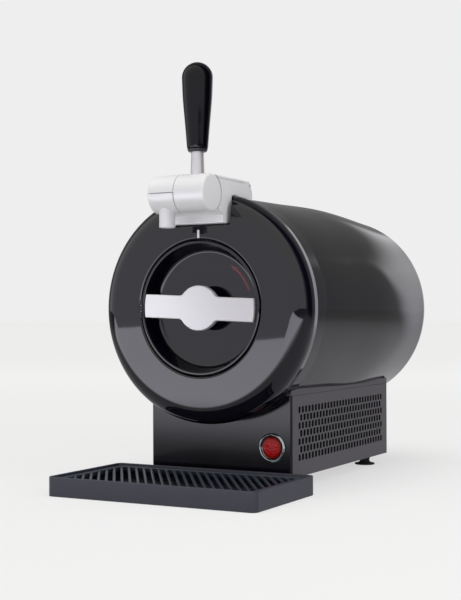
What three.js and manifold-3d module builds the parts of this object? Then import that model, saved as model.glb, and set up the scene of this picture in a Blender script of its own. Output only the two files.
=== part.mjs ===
// Mini keg beer dispenser: a cooled drum with a hinged round door, on a vented base with a drip tray.
// Millimetres. X points right as seen from the front, Y points back and Z points up.
// Before the last shift, Y is zero at the front face of the drum and Z is zero on the table.
import * as THREE from 'three';
import { mergeVertices } from 'three/addons/utils/BufferGeometryUtils.js';
import Module from 'manifold-3d';

const wasm = await Module();
wasm.setup();

// Shared clearances and facet counts
const gap = 0.3; // between pieces that touch
const runningGap = 0.4; // round a piece that turns
const overrun = 5; // how far a cutter passes the face that it opens
const seam = 1; // how far joined parts of one piece run into each other
const mergeTolerance = 1e-4;

// Facet counts
const fineTurn = 32;
const midTurn = 24;
const smallTurn = 12;
const tinyTurn = 8;
const arcSteps = 4;

// Driving dimensions
const bezel = {
  outerR: 120.6,
  mouthR: 70.6,
  lipR: 2.4,
  edgeR: 19,
  faceDrop: 0.8, // how far the face falls back from the mouth to its rounded edge
  step: 0.9,
  skirtDrop: 1.8, // how much smaller its rear end is
  depth: 55,
  wall: 3,
};

const drum = {
  underside: 66.8, // height of its lowest line over the table
  frontDrop: 2.3, // radii of the drum, by how far they fall short of the bezel's or pass it
  shoulderDrop: 1.2,
  bellyRise: 0.1,
  tailDrop: 6.8,
  tailRound: 25,
  length: 391, // from the bezel's face to the flat of the tail
  shoulderShare: 0.28,
  bellyShare: 0.6,
  wall: 3,
};

const door = {
  ease: 0.7, // round it in the mouth
  edgeRound: 1.6,
  lipWidth: 1.6,
  dishInset: 8.9,
  floorDepth: 18.2,
  wall: 3,
  rimDepth: 7,
  rearInset: 1.9,
  sealInset: 5, // how far the seal reaches in and out from the chamber's wall
  sealOutset: 2,
  sealThick: 3,
  plugInset: 6, // between the plug and the lugs
};

const hinge = {
  inset: 0.3, // of its axis from the mouth's edge
  y: 1,
  pinR: 1.1,
  knuckleR: 2.2,
  knuckleLength: 6,
  pocket: 0.4,
};

const lock = {
  barInset: 5.4, // of the bar's ends from the door's edge
  barHalf: 12.2,
  bulgeR: 23.3,
  filletR: 6,
  proud: 2, // how far the bar stands in front of the mouth
  barThick: 7,
  hubR: 18,
  shaftR: 5,
  latchGap: 0.4, // behind the lugs
  latchCatch: 4, // how far the latch reaches behind a lug
  latchHalf: 6.5,
  latchThick: 3,
};

const mouthRing = {
  thick: 3.2,
  lugReach: 5.5,
  lugHalf: 7,
};

const chamber = {
  inset: 5.1, // of its wall from the mouth's edge
  wall: 1.5,
  depth: 272,
  jacket: 14,
  bulkheadThick: 3.7,
  connectorR: 14,
  connectorThick: 6,
  nippleR: 4,
  nippleReach: 12,
  stemR: 5,
  stemReach: 8, // how far the connector's stem stands out behind the bulkhead
};

const base = {
  half: 84,
  front: 44.1,
  rear: 315.2,
  bottom: 12,
  crownGap: 4.225, // between the top edge of its sides and the drum
  sheet: 2,
  frontSheet: 2.5,
  frontChamfer: 1.8,
  floorThick: 3,
  postSide: 6,
  saddleThick: 6.8, // under the drum's lowest line
  railWidth: 7,
};

// Rows and slots are spread evenly between these distances from the sheet's edges
const vent = {
  rows: 7,
  longRow: 29,
  front: 16.8,
  rear: 19.1,
  below: 19.8,
  above: 15.12,
  width: 4,
  height: 6,
};

const foot = {
  side: 18, // places of the feet, by their distance from the base's sides
  front: 27.9,
  rear: 27.2,
  padR: 10.5,
  padThick: 3,
  neckR: 6,
};

const button = {
  side: 22.1,
  rise: 30.9,
  lensR: 11.2,
  ringR: 15,
  sleeveR: 13,
  ringProud: 2,
  lensProud: 3.4,
  lensLength: 9,
  sleeveLength: 9.5,
  switchHalf: 9,
  switchLength: 12,
};

// Heights are given from the barrel's axis or from the flat top
const tap = {
  axisDrop: 5.6, // of the barrel's axis from the bezel's top line
  standOff: 9.1, // between the barrel and the bezel's face
  barrelR: 19.4,
  half: 32.3,
  splitX: -2.1,
  topDrop: 0.9, // of the flat top from the barrel's top
  lidThick: 3,
  rearReach: 3.6,
  rearSlope: 6.6,
  rearFall: 10.4,
  footDrop: 29,
  footTopDrop: 21,
  footFront: 6.6,
  cradleBack: 13.5,
  cradleDrop: 15.5,
  notchDepth: 12.4,
  notchSide: 4.5,
  notchBelow: 2,
  lidHingeInset: 5.6,
  lidHingeDrop: 4.5,
  knuckleR: 3.2,
  sweepR: 5.5,
  cheek: 3.2,
  cheekR: 10,
  lidPinR: 1.4,
  pivotR: 4,
  pivotLeft: 8.5,
  pivotRight: 20,
  channelHalf: 4.5,
  channelDepth: 6.5,
};

const spout = {
  x: -17.5,
  forward: 4.5,
  r: 8.2,
  boreR: 5.6,
  drop: 34,
  socketDrop: 9.5,
};

// The way of the keg's own beer line, from the chamber's mouth up to the tap
const beerLine = {
  portHalf: 4.5,
  portY: 33,
  slotRim: 16.2,
};

const lever = {
  x: 15.3,
  stemR: 6.4,
  seat: 6.5,
  neck: 41.2, // from the barrel's axis up to the ferrule
  ferruleR: 8.8,
  ferruleHeight: 2.8,
  gripLength: 74.2, // up to the widest place
  gripLowR: 10.6,
  gripHighR: 15.6,
  domeR: 12,
  crown: 2.6,
  stemInGrip: 15.2,
};

const tray = {
  half: 117.1,
  length: 131.4,
  baseGap: 14.7, // between the tray and the base's front
  height: 19.6,
  corner: 6.8,
  wall: 3.2,
  floor: 3,
  ledge: 2.8,
  ledgeHeight: 12,
  tongueGap: 5.5, // between the tongue and the front feet
  tongueReach: 52,
  tongueThick: 4.5,
};

const grille = {
  side: 0.5,
  sink: 2, // of its top below the tray's rim
  border: 8,
  slatWidth: 3.2,
  slatCount: 30,
  slatTurn: 33.6, // degrees from the front-back line, to the right at the front
  slatDrop: 0.4,
  slatDepth: 3.6,
};

const cooler = {
  back: 125.9, // of its middle from the base's front
  blockHalf: 20,
  blockDrop: 4,
  moduleThick: 4,
  sinkGap: 7, // between the sink and the fan
  sinkHalfY: 50,
  sinkPlate: 6,
  finCount: 14,
  finThick: 1.6,
  finFloorGap: 5.2,
};

const fan = {
  sideGap: 10.7,
  thick: 14,
  rise: 8.5, // of its top over the drum's lowest line
  rim: 2.2,
  tipGap: 1.2,
  hubR: 11,
  bladeCount: 7,
  bladeHalfAngle: 0.24,
  strut: 2.4,
  strutCount: 3,
  strutThick: 2.4,
  motorR: 10,
};

const pump = {
  sideGap: 12.7,
  back: 39.9,
  halfX: 19,
  halfY: 24,
  height: 30,
  headR: 11,
  headHeight: 9,
  outletR: 2.6,
  outletLength: 6,
};

const supply = {
  sideGap: 3.7,
  width: 24,
  back: 81.9,
  length: 108,
  topGap: 2.7, // under the saddle
};

const board = {
  sideGap: 7.7,
  back: 43.9,
  halfX: 27,
  halfY: 27,
  thick: 1.6,
  standoff: 4,
  postR: 2.6,
  relaySide: 15,
  relayHeight: 11,
  canR: 5,
  canHeight: 10,
};

const inlet = {
  side: 32,
  rise: 28,
  halfX: 13,
  halfZ: 9,
  flange: 3,
  flangeThick: 2,
  depth: 18,
  cavity: 12,
  lining: 2,
};

const screw = {
  headR: 3.2,
  headThick: 1.6,
  shankR: 1.4,
  shankLength: 8,
  low: 10, // from the base's bottom and top edges
  high: 12.6,
};

// Places that follow from them
const skirtR = bezel.outerR - bezel.skirtDrop;
const bellyR = bezel.outerR + drum.bellyRise;
const axisHeight = drum.underside + bellyR; // common axis of bezel, door, chamber and drum

const doorR = bezel.mouthR - door.ease;
const dishR = doorR - door.dishInset;
const doorRear = door.floorDepth + door.wall;
const sealFront = doorRear + gap;
const throatDepth = sealFront + door.sealThick;
const chamberR = bezel.mouthR - chamber.inset;
const lugR = chamberR - mouthRing.lugReach;
const hingeX = hinge.inset - bezel.mouthR;

const baseTop = axisHeight - Math.sqrt(bellyR ** 2 - base.half ** 2) - base.crownGap;
const floorTop = base.bottom + base.floorThick;
const floorSeat = floorTop + gap;
const saddleBottom = drum.underside - base.saddleThick;
const insideHalf = base.half - base.sheet - gap;
const insideFront = base.front + base.frontSheet + gap;
const insideRear = base.rear - base.frontSheet - gap;
const buttonX = base.half - button.side;
const buttonZ = base.bottom + button.rise;
const coolerY = base.front + cooler.back;
const footX = base.half - foot.side;
const trayRear = base.front - tray.baseGap;
const trayFront = trayRear - tray.length;

const tapY = -tap.barrelR - tap.standOff;
const tapZ = axisHeight + bezel.outerR - tap.axisDrop;
const tapTop = tapZ + tap.barrelR - tap.topDrop;
const tapRear = bezel.depth + tap.rearReach;
const footBottom = tapZ - tap.footDrop;
const lidBottom = tapTop - tap.lidThick;
const channelBottom = lidBottom - tap.channelDepth;
const spoutY = tapY - spout.forward;
const spoutBottom = tapZ - spout.drop;
const socketTop = tapZ - spout.socketDrop;

// Geometry helpers

// A closed three.js geometry as a solid that can be joined and cut.
function solid(geometry) {
  const bare = geometry.clone();
  bare.deleteAttribute('normal');
  bare.deleteAttribute('uv');
  const welded = mergeVertices(bare, mergeTolerance);
  const vertProperties = new Float32Array(welded.attributes.position.array);
  const corners = welded.index.array;
  const kept = [];
  for (let i = 0; i < corners.length; i += 3) {
    const [a, b, c] = [corners[i], corners[i + 1], corners[i + 2]];
    if (a !== b && b !== c && c !== a) kept.push(a, b, c);
  }
  const triVerts = new Uint32Array(kept);
  if (signedVolume(vertProperties, triVerts) < 0) triVerts.reverse();
  return new wasm.Manifold(new wasm.Mesh({ numProp: 3, vertProperties, triVerts }));
}

function signedVolume(points, corners) {
  const [a, b, c] = [new THREE.Vector3(), new THREE.Vector3(), new THREE.Vector3()];
  let sum = 0;
  for (let i = 0; i < corners.length; i += 3) {
    a.fromArray(points, 3 * corners[i]);
    b.fromArray(points, 3 * corners[i + 1]);
    c.fromArray(points, 3 * corners[i + 2]);
    sum += a.dot(b.cross(c)) / 6;
  }
  return sum;
}

function join(...solids) {
  return solids.reduce((whole, piece) => whole.add(piece));
}

function cut(body, ...tools) {
  return tools.reduce((left, tool) => left.subtract(tool), body);
}

function block(x0, x1, y0, y1, z0, z1) {
  const box = new THREE.BoxGeometry(x1 - x0, y1 - y0, z1 - z0);
  return solid(box.translate((x0 + x1) / 2, (y0 + y1) / 2, (z0 + z1) / 2));
}

// A rod between two points on a line along x, y or z; the other two places come in x, y, z order.
function rod(axis, r, from, to, u, v, sides = smallTurn) {
  const shape = new THREE.CylinderGeometry(r, r, to - from, sides);
  const middle = (from + to) / 2;
  if (axis === 'x') return solid(shape.rotateZ(Math.PI / 2).translate(middle, u, v));
  if (axis === 'y') return solid(shape.translate(u, middle, v));
  return solid(shape.rotateX(Math.PI / 2).translate(u, v, middle));
}

// A profile of [radius, y] points turned about the Y axis and lifted to a height.
function turned(profile, sides = fineTurn, height = 0) {
  const points = profile.map(([r, y]) => new THREE.Vector2(r, y));
  const closed = profile[0][0] > 0;
  if (closed) points.push(points[0].clone());
  return solid(new THREE.LatheGeometry(points, sides).translate(0, 0, height));
}

// A profile of [radius, z] points turned about a vertical line.
function spun(profile, x, y, sides = smallTurn) {
  const points = profile.map(([r, z]) => new THREE.Vector2(r, z));
  const closed = profile[0][0] > 0;
  if (closed) points.push(points[0].clone());
  return solid(new THREE.LatheGeometry(points, sides).rotateX(Math.PI / 2).translate(x, y, 0));
}

// A flat outline pushed along x, y or z. The outline's own axes are (y, z), (x, z) or (x, y).
function slab(axis, outline, from, to) {
  const points = Array.isArray(outline) && outline.map((p) => new THREE.Vector2(...p));
  const shape = points ? new THREE.Shape(points) : outline;
  const body = new THREE.ExtrudeGeometry(shape, {
    depth: to - from,
    bevelEnabled: false,
    curveSegments: arcSteps,
  });
  if (axis === 'x') {
    const across = new THREE.Vector3(0, 1, 0);
    const up = new THREE.Vector3(0, 0, 1);
    const along = new THREE.Vector3(1, 0, 0);
    return solid(body.applyMatrix4(new THREE.Matrix4().makeBasis(across, up, along)).translate(from, 0, 0));
  }
  if (axis === 'y') return solid(body.rotateX(Math.PI / 2).translate(0, to, 0));
  return solid(body.translate(0, 0, from));
}

function arc(centreR, centreY, r, fromAngle, toAngle, steps = arcSteps) {
  return Array.from({ length: steps + 1 }, (_, i) => {
    const angle = fromAngle + ((toAngle - fromAngle) * i) / steps;
    return [centreR + r * Math.cos(angle), centreY + r * Math.sin(angle)];
  });
}

function roundedRectangle(halfX, y0, y1, r) {
  const shape = new THREE.Shape();
  shape.moveTo(-halfX + r, y0);
  shape.lineTo(halfX - r, y0);
  shape.absarc(halfX - r, y0 + r, r, -Math.PI / 2, 0);
  shape.lineTo(halfX, y1 - r);
  shape.absarc(halfX - r, y1 - r, r, 0, Math.PI / 2);
  shape.lineTo(-halfX + r, y1);
  shape.absarc(-halfX + r, y1 - r, r, Math.PI / 2, Math.PI);
  shape.lineTo(-halfX, y0 + r);
  shape.absarc(-halfX + r, y0 + r, r, Math.PI, 1.5 * Math.PI);
  return shape;
}

// The model
const model = new THREE.Group();

const looks = {
  glossBlack: [0x1c1c1f, 0.12, 0],
  satinBlack: [0x26262a, 0.45, 0],
  darkSheet: [0x4a494c, 0.5, 0.3],
  silver: [0xd4d5d8, 0.3, 0.8],
  steel: [0xb8babd, 0.35, 0.9],
  aluminium: [0xc3c5c8, 0.4, 0.9],
  redLens: [0xb8141c, 0.2, 0],
  slate: [0x3a3c42, 0.5, 0],
  rubber: [0x2a2a2a, 0.9, 0],
  foam: [0xd9d5c8, 0.95, 0],
  whiteCeramic: [0xe9e6df, 0.7, 0],
  green: [0x1f5a36, 0.6, 0],
};

const onAxis = [0, 0, axisHeight];

function place(name, shape, look, position = [0, 0, 0]) {
  const made = shape.getMesh();
  const geometry = new THREE.BufferGeometry();
  geometry.setAttribute('position', new THREE.BufferAttribute(made.vertProperties, 3));
  geometry.setIndex(new THREE.BufferAttribute(made.triVerts, 1));
  geometry.computeVertexNormals();
  const [color, roughness, metalness] = looks[look];
  const mesh = new THREE.Mesh(geometry, new THREE.MeshStandardMaterial({ color, roughness, metalness }));
  mesh.name = name;
  mesh.position.set(...position);
  model.add(mesh);
}

// Outlines of the bezel and the drum, as [radius, y] points, from the mouth to the tail
function bezelFace(inset, steps = arcSteps) {
  const centreR = bezel.outerR - bezel.edgeR;
  const centreY = bezel.faceDrop + bezel.edgeR;
  return arc(centreR, centreY, bezel.edgeR - inset, -Math.PI / 2, 0, steps);
}

const bezelStepY = bezel.faceDrop + bezel.edgeR + bezel.step;
const bezelStepR = bezel.outerR - bezel.step;

function bezelOutside() {
  return [
    [bezel.mouthR, throatDepth],
    ...arc(bezel.mouthR + bezel.lipR, bezel.lipR, bezel.lipR, Math.PI, 1.5 * Math.PI, 2),
    ...bezelFace(0, arcSteps + 2),
    [bezelStepR, bezelStepY],
    [skirtR, bezel.depth],
  ];
}

function bezelProfile() {
  const { wall, mouthR } = bezel;
  return [
    ...bezelOutside(),
    [skirtR - wall, bezel.depth],
    [bezelStepR - wall, bezelStepY],
    ...bezelFace(wall, 2).reverse(),
    [mouthR + wall, bezel.faceDrop + wall],
    [mouthR + wall, throatDepth],
  ];
}

function bezelInsideAt(y) {
  const share = (y - bezelStepY) / (bezel.depth - bezelStepY);
  return bezelStepR + (skirtR - bezelStepR) * share - bezel.wall;
}

const drumFront = bezel.depth + gap;
const tailR = bezel.outerR - drum.tailDrop;

function drumCurve(inset, steps = arcSteps) {
  const tailY = drum.length - drum.tailRound;
  const span = tailY - drumFront;
  const side = new THREE.SplineCurve([
    new THREE.Vector2(bezel.outerR - drum.frontDrop, drumFront),
    new THREE.Vector2(bezel.outerR - drum.shoulderDrop, drumFront + drum.shoulderShare * span),
    new THREE.Vector2(bellyR, drumFront + drum.bellyShare * span),
    new THREE.Vector2(tailR, tailY),
  ]).getPoints(steps).map((p) => [p.x - inset, p.y]);
  const tail = arc(tailR - drum.tailRound, tailY, drum.tailRound - inset, 0, Math.PI / 2, steps);
  return [...side, ...tail.slice(1)];
}

function drumRadiusAt(y, inset) {
  const points = drumCurve(inset);
  const next = points.findIndex((p) => p[1] >= y);
  const [[r0, y0], [r1, y1]] = [points[next - 1], points[next]];
  return r0 + ((r1 - r0) * (y - y0)) / (y1 - y0);
}

// The space that the bezel and drum fill, swollen by a clearance, at its height on the machine
function drumEnvelope(clearance) {
  const front = bezelFace(-clearance, arcSteps + 2);
  const body = drumCurve(-clearance);
  return turned([
    [0, -clearance],
    [bezel.outerR - bezel.edgeR, -clearance],
    ...front.slice(1),
    [bezel.outerR + clearance, bezelStepY],
    [skirtR + clearance, bezel.depth],
    ...body,
    [0, drum.length + clearance],
  ], fineTurn, axisHeight);
}

// Knuckles of the door hinge: the middle one is on the door, the outer two are on the bezel
function hingeKnuckle(index, swell) {
  const length = hinge.knuckleLength;
  const from = (index - 0.5) * length;
  const ease = swell > 0 ? swell : -gap / 2;
  const r = hinge.knuckleR + swell;
  return rod('z', r, from - ease, from + length + ease, hingeX, hinge.y, tinyTurn);
}

const hingeBore = rod(
  'z', hinge.pinR + gap, -2 * hinge.knuckleLength, 2 * hinge.knuckleLength, hingeX, hinge.y, tinyTurn,
);

// Front bezel, with the seat for the tap cut into its crown
const notch = {
  half: tap.half + tap.notchSide,
  bottom: footBottom - tap.notchBelow - axisHeight,
  top: bezel.outerR + overrun,
};

// The square hole that the keg's beer line takes through the bezel's crown and the tap
function makeLinePort(from, to) {
  const half = beerLine.portHalf;
  return block(spout.x - half, spout.x + half, beerLine.portY - half, beerLine.portY + half, from, to);
}

function makeBezel() {
  const shell = turned(bezelProfile());
  const filled = turned([...bezelOutside(), [bezel.mouthR, bezel.depth]]);
  const wall = bezel.wall;
  const seat = block(
    -notch.half - wall, notch.half + wall, 0, tap.notchDepth + wall, notch.bottom - wall, notch.top,
  );
  const hollow = block(-notch.half, notch.half, -overrun, tap.notchDepth, notch.bottom, notch.top);
  const linePort = makeLinePort(0, bezel.outerR + overrun);
  const shaped = cut(join(shell, seat.intersect(filled)), hollow, linePort, hingeKnuckle(0, hinge.pocket));
  return cut(join(shaped, hingeKnuckle(-1, 0), hingeKnuckle(1, 0)), hingeBore);
}
place('front_bezel', makeBezel(), 'glossBlack', onAxis);

// Drum shell, open at the front and domed at the tail
function makeDrum() {
  const outside = drumCurve(0);
  const inside = drumCurve(drum.wall);
  const shell = turned([[0, drum.length], ...outside.reverse(), ...inside, [0, drum.length - drum.wall]]);
  const side = cooler.blockHalf + gap;
  const port = block(-side, side, coolerY - side, coolerY + side, -bellyR - overrun, 0);
  return cut(shell, port);
}
place('drum_shell', makeDrum(), 'glossBlack', onAxis);

// Door: dished cup, seal and insulated plug
const ringFront = throatDepth + gap;
const ringRear = ringFront + mouthRing.thick;
const latchFront = ringRear + lock.latchGap;
const plugRear = latchFront - gap;
const spindleBore = rod('y', lock.shaftR + gap, 0, plugRear + overrun, 0, 0);

function makeDoorCup() {
  const round = door.edgeRound;
  const profile = [
    [0, door.floorDepth],
    [dishR, door.floorDepth],
    [doorR - round - door.lipWidth, 0],
    ...arc(doorR - round, round, round, -Math.PI / 2, 0),
    [doorR, door.rimDepth],
    [doorR - door.rearInset, doorRear],
    [0, doorRear],
  ];
  const cup = turned(profile);
  const pockets = [hingeKnuckle(-1, hinge.pocket), hingeKnuckle(1, hinge.pocket)];
  return cut(join(cut(cup, ...pockets), hingeKnuckle(0, 0)), hingeBore, spindleBore);
}
place('door_cup', makeDoorCup(), 'glossBlack', onAxis);

const sealInnerR = chamberR - door.sealInset;
const sealOuterR = chamberR + door.sealOutset;
place('door_seal', turned([
  [sealInnerR, sealFront],
  [sealOuterR, sealFront],
  [sealOuterR, throatDepth],
  [sealInnerR, throatDepth],
], midTurn), 'rubber', onAxis);

const plugR = lugR - door.plugInset;
place('door_plug', cut(turned([
  [0, sealFront],
  [plugR, sealFront],
  [plugR, plugRear],
  [0, plugRear],
], midTurn), spindleBore), 'foam', onAxis);

place('door_hinge_pin', rod(
  'z', hinge.pinR, -1.5 * hinge.knuckleLength, 1.5 * hinge.knuckleLength, hingeX, hinge.y, tinyTurn,
), 'steel', onAxis);

// Lock: bar, hub with its shaft, and the latch arm behind the plug
function barOutline() {
  const { barHalf, bulgeR, filletR } = lock;
  const barReach = doorR - lock.barInset;
  const endAngle = Math.asin(barHalf / barReach);
  const filletX = Math.sqrt((bulgeR + filletR) ** 2 - (barHalf + filletR) ** 2);
  const bulgeAngle = Math.atan2(barHalf + filletR, filletX);
  const shape = new THREE.Shape();
  shape.absarc(0, 0, barReach, -endAngle, endAngle);
  shape.absarc(filletX, barHalf + filletR, filletR, 1.5 * Math.PI, Math.PI + bulgeAngle, true);
  shape.absarc(0, 0, bulgeR, bulgeAngle, Math.PI - bulgeAngle);
  shape.absarc(-filletX, barHalf + filletR, filletR, -bulgeAngle, -Math.PI / 2, true);
  shape.absarc(0, 0, barReach, Math.PI - endAngle, Math.PI + endAngle);
  shape.absarc(-filletX, -barHalf - filletR, filletR, Math.PI / 2, bulgeAngle, true);
  shape.absarc(0, 0, bulgeR, Math.PI + bulgeAngle, 2 * Math.PI - bulgeAngle);
  shape.absarc(filletX, -barHalf - filletR, filletR, Math.PI - bulgeAngle, Math.PI / 2, true);
  shape.closePath();
  return shape;
}
const barRear = lock.barThick - lock.proud;
place('handle_bar', slab('y', barOutline(), -lock.proud, barRear), 'silver', onAxis);

const shaftEnd = latchFront + lock.latchThick;
place('lock_spindle', join(
  rod('y', lock.hubR, barRear + gap, door.floorDepth - runningGap, 0, 0, midTurn),
  rod('y', lock.shaftR, barRear + gap, shaftEnd, 0, 0),
), 'satinBlack', onAxis);

function makeLatch() {
  const reach = lugR + lock.latchCatch;
  const half = lock.latchHalf;
  const disc = rod('y', reach, latchFront, shaftEnd, 0, 0, midTurn);
  const strip = block(-reach, reach, latchFront - overrun, shaftEnd + overrun, -half, half);
  return cut(disc.intersect(strip), rod('y', lock.shaftR + gap, 0, shaftEnd + overrun, 0, 0));
}
place('latch_arm', makeLatch(), 'steel', onAxis);

// Mouth ring with the two lugs that the latch turns behind
const mouthRingR = bezelInsideAt(ringRear) - gap;

function makeMouthRing() {
  const { lugHalf } = mouthRing;
  const ring = turned([
    [chamberR, ringFront],
    [mouthRingR, ringFront],
    [mouthRingR, ringRear],
    [chamberR, ringRear],
  ]);
  const band = turned([
    [lugR, ringFront],
    [chamberR + seam, ringFront],
    [chamberR + seam, ringRear],
    [lugR, ringRear],
  ]);
  const lugs = band.intersect(block(-lugHalf, lugHalf, 0, ringRear + overrun, -mouthRingR, mouthRingR));
  const lineSlot = block(
    spout.x - beerLine.portHalf, spout.x + beerLine.portHalf,
    0, ringRear + overrun, 0, mouthRingR - beerLine.slotRim,
  );
  return join(cut(ring, lineSlot), lugs);
}
place('mouth_ring', makeMouthRing(), 'satinBlack', onAxis);

// Keg chamber: aluminium liner, foam jacket, rear bulkhead and the air connector on the keg's seat
const linerFront = ringRear + gap;
const linerOuterR = chamberR + chamber.wall;
const linerRear = linerFront + chamber.depth + chamber.wall;
const jacketRear = linerRear + gap + chamber.jacket;
const bulkheadFront = jacketRear + gap;
const bulkheadRear = bulkheadFront + chamber.bulkheadThick;
const stemBore = rod('y', chamber.stemR + gap, linerFront, drum.length, 0, 0);

place('chamber_liner', cut(turned([
  [0, linerRear - chamber.wall],
  [chamberR, linerRear - chamber.wall],
  [chamberR, linerFront],
  [linerOuterR, linerFront],
  [linerOuterR, linerRear],
  [0, linerRear],
], midTurn), stemBore), 'aluminium', onAxis);

function makeJacket() {
  const innerR = linerOuterR + gap;
  const shell = turned([
    [0, linerRear + gap],
    [innerR, linerRear + gap],
    [innerR, linerFront],
    [innerR + chamber.jacket, linerFront],
    [innerR + chamber.jacket, jacketRear],
    [0, jacketRear],
  ], midTurn);
  const side = cooler.blockHalf + gap;
  return cut(shell, stemBore, block(-side, side, coolerY - side, coolerY + side, -bellyR, 0));
}
place('insulation_jacket', makeJacket(), 'foam', onAxis);

const bulkheadR = drumRadiusAt(bulkheadRear, drum.wall) - gap;
place('rear_bulkhead', turned([
  [chamber.stemR + gap, bulkheadFront],
  [bulkheadR, bulkheadFront],
  [bulkheadR, bulkheadRear],
  [chamber.stemR + gap, bulkheadRear],
]), 'satinBlack', onAxis);

const seatRear = linerRear - chamber.wall - gap;
const seatFront = seatRear - chamber.connectorThick;
place('keg_connector', turned([
  [0, bulkheadRear + chamber.stemReach],
  [chamber.stemR, bulkheadRear + chamber.stemReach],
  [chamber.stemR, seatRear],
  [chamber.connectorR, seatRear],
  [chamber.connectorR, seatFront],
  [chamber.nippleR, seatFront],
  [chamber.nippleR, seatFront - chamber.nippleReach],
  [0, seatFront - chamber.nippleReach],
], smallTurn), 'satinBlack', onAxis);

// Base: floor with corner posts, saddle, sheets and feet
const envelope = drumEnvelope(gap);

// Four screws hold the rear sheet to the posts and the saddle
const rearFace = base.rear - base.frontSheet;
const screwX = insideHalf - base.postSide / 2;
const screwHeights = [base.bottom + screw.low, baseTop - screw.high];
const screwPlaces = [-screwX, screwX].flatMap((x) => screwHeights.map((z) => [x, z]));
const screwHeadFront = base.rear + gap;
const screwTip = screwHeadFront - screw.shankLength;
const screwHoles = screwPlaces.map(([x, z]) => rod(
  'y', screw.shankR + gap, screwTip - gap, base.rear + overrun, x, z, tinyTurn,
));

const boardX = insideHalf - board.sideGap - board.halfX;
const boardY = base.front + board.back;

function boardPosts() {
  const inset = 2 * board.postR;
  const posts = [];
  for (const sx of [-1, 1]) {
    for (const sy of [-1, 1]) {
      const x = boardX + sx * (board.halfX - inset);
      const y = boardY + sy * (board.halfY - inset);
      posts.push(rod('z', board.postR, base.bottom, floorTop + board.standoff, x, y, tinyTurn));
    }
  }
  return posts;
}

function makeFloor() {
  const plate = block(-insideHalf, insideHalf, insideFront, insideRear, base.bottom, floorTop);
  const side = base.postSide;
  const posts = [];
  for (const x of [-insideHalf, insideHalf - side]) {
    for (const y of [insideFront, insideRear - side]) {
      posts.push(block(x, x + side, y, y + side, base.bottom, saddleBottom - gap));
    }
  }
  return cut(join(plate, ...posts, ...boardPosts()), ...screwHoles);
}
place('base_floor', makeFloor(), 'satinBlack');

function makeSaddle() {
  const lower = block(-insideHalf, insideHalf, insideFront, insideRear, saddleBottom, axisHeight);
  const lipBottom = baseTop + gap;
  const upper = block(-base.half, base.half, base.front, base.rear, lipBottom, axisHeight);
  const crown = baseTop + base.railWidth;
  const far = base.half + overrun;
  const ceiling = block(-far, far, 0, drum.length, crown, axisHeight + overrun);
  const rail = base.railWidth;
  const opening = block(
    -insideHalf + rail, insideHalf - rail, insideFront + rail, insideRear - rail, 0, axisHeight,
  );
  return cut(join(lower, upper), ceiling, opening, envelope, ...screwHoles);
}
place('drum_saddle', makeSaddle(), 'satinBlack');

// A perforated side sheet: alternate rows are set half a pitch along
function ventSlots(from, to) {
  const firstY = base.front + vent.front;
  const firstZ = base.bottom + vent.below;
  const pitch = (base.rear - vent.rear - firstY) / (vent.longRow - 1);
  const rowPitch = (baseTop - vent.above - firstZ) / (vent.rows - 1);
  const slots = [];
  for (let row = 0; row < vent.rows; row += 1) {
    const shifted = row % 2;
    for (let i = 0; i < vent.longRow - shifted; i += 1) {
      const y = firstY + (i + shifted / 2) * pitch;
      const z = firstZ + row * rowPitch;
      const [halfY, halfZ] = [vent.width / 2, vent.height / 2];
      slots.push(block(from, to, y - halfY, y + halfY, z - halfZ, z + halfZ));
    }
  }
  return slots;
}

function makeVentPanel(from) {
  const to = from + base.sheet;
  const sheet = block(from, to, insideFront, base.rear, base.bottom, baseTop);
  return wasm.Manifold.difference([sheet, ...ventSlots(from - overrun, to + overrun)]);
}
place('right_vent_panel', makeVentPanel(base.half - base.sheet), 'darkSheet');
place('left_vent_panel', makeVentPanel(-base.half), 'darkSheet');

function makeFrontPanel() {
  const bevel = base.frontChamfer;
  const back = base.front + base.frontSheet;
  const plate = slab('z', [
    [-base.half, base.front + bevel],
    [-base.half + bevel, base.front],
    [base.half - bevel, base.front],
    [base.half, base.front + bevel],
    [base.half, back],
    [-base.half, back],
  ], base.bottom, baseTop);
  const hole = rod('y', button.sleeveR + gap, 0, back + overrun, buttonX, buttonZ, midTurn);
  return cut(plate, envelope, hole);
}
place('front_panel', makeFrontPanel(), 'satinBlack');

// Rear sheet with the power inlet's window
const inletX = inlet.side - base.half;
const inletZ = base.bottom + inlet.rise;

function makeRearPanel() {
  const plate = block(-insideHalf, insideHalf, rearFace, base.rear, base.bottom, baseTop);
  const windowHole = block(
    inletX - inlet.halfX - gap, inletX + inlet.halfX + gap,
    rearFace - overrun, base.rear + overrun,
    inletZ - inlet.halfZ - gap, inletZ + inlet.halfZ + gap,
  );
  return cut(plate, envelope, windowHole, ...screwHoles);
}
place('rear_panel', makeRearPanel(), 'darkSheet');

screwPlaces.forEach(([x, z], i) => {
  const rear = screwHeadFront + screw.headThick;
  const shank = rod('y', screw.shankR, screwTip, rear, x, z, tinyTurn);
  const head = rod('y', screw.headR, screwHeadFront, rear, x, z, tinyTurn);
  place(`rear_panel_screw_${i + 1}`, join(shank, head), 'steel');
});

function makeInlet() {
  const { halfX, halfZ, flange, lining } = inlet;
  const face = base.rear + gap;
  const back = face + inlet.flangeThick;
  const boxed = (swell, from, to) => block(
    inletX - halfX - swell, inletX + halfX + swell, from, to, inletZ - halfZ - swell, inletZ + halfZ + swell,
  );
  const shell = join(boxed(flange, face, back), boxed(0, face - inlet.depth, back));
  return cut(shell, boxed(-lining, face - inlet.cavity, face + overrun));
}
place('power_inlet', makeInlet(), 'satinBlack');

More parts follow.
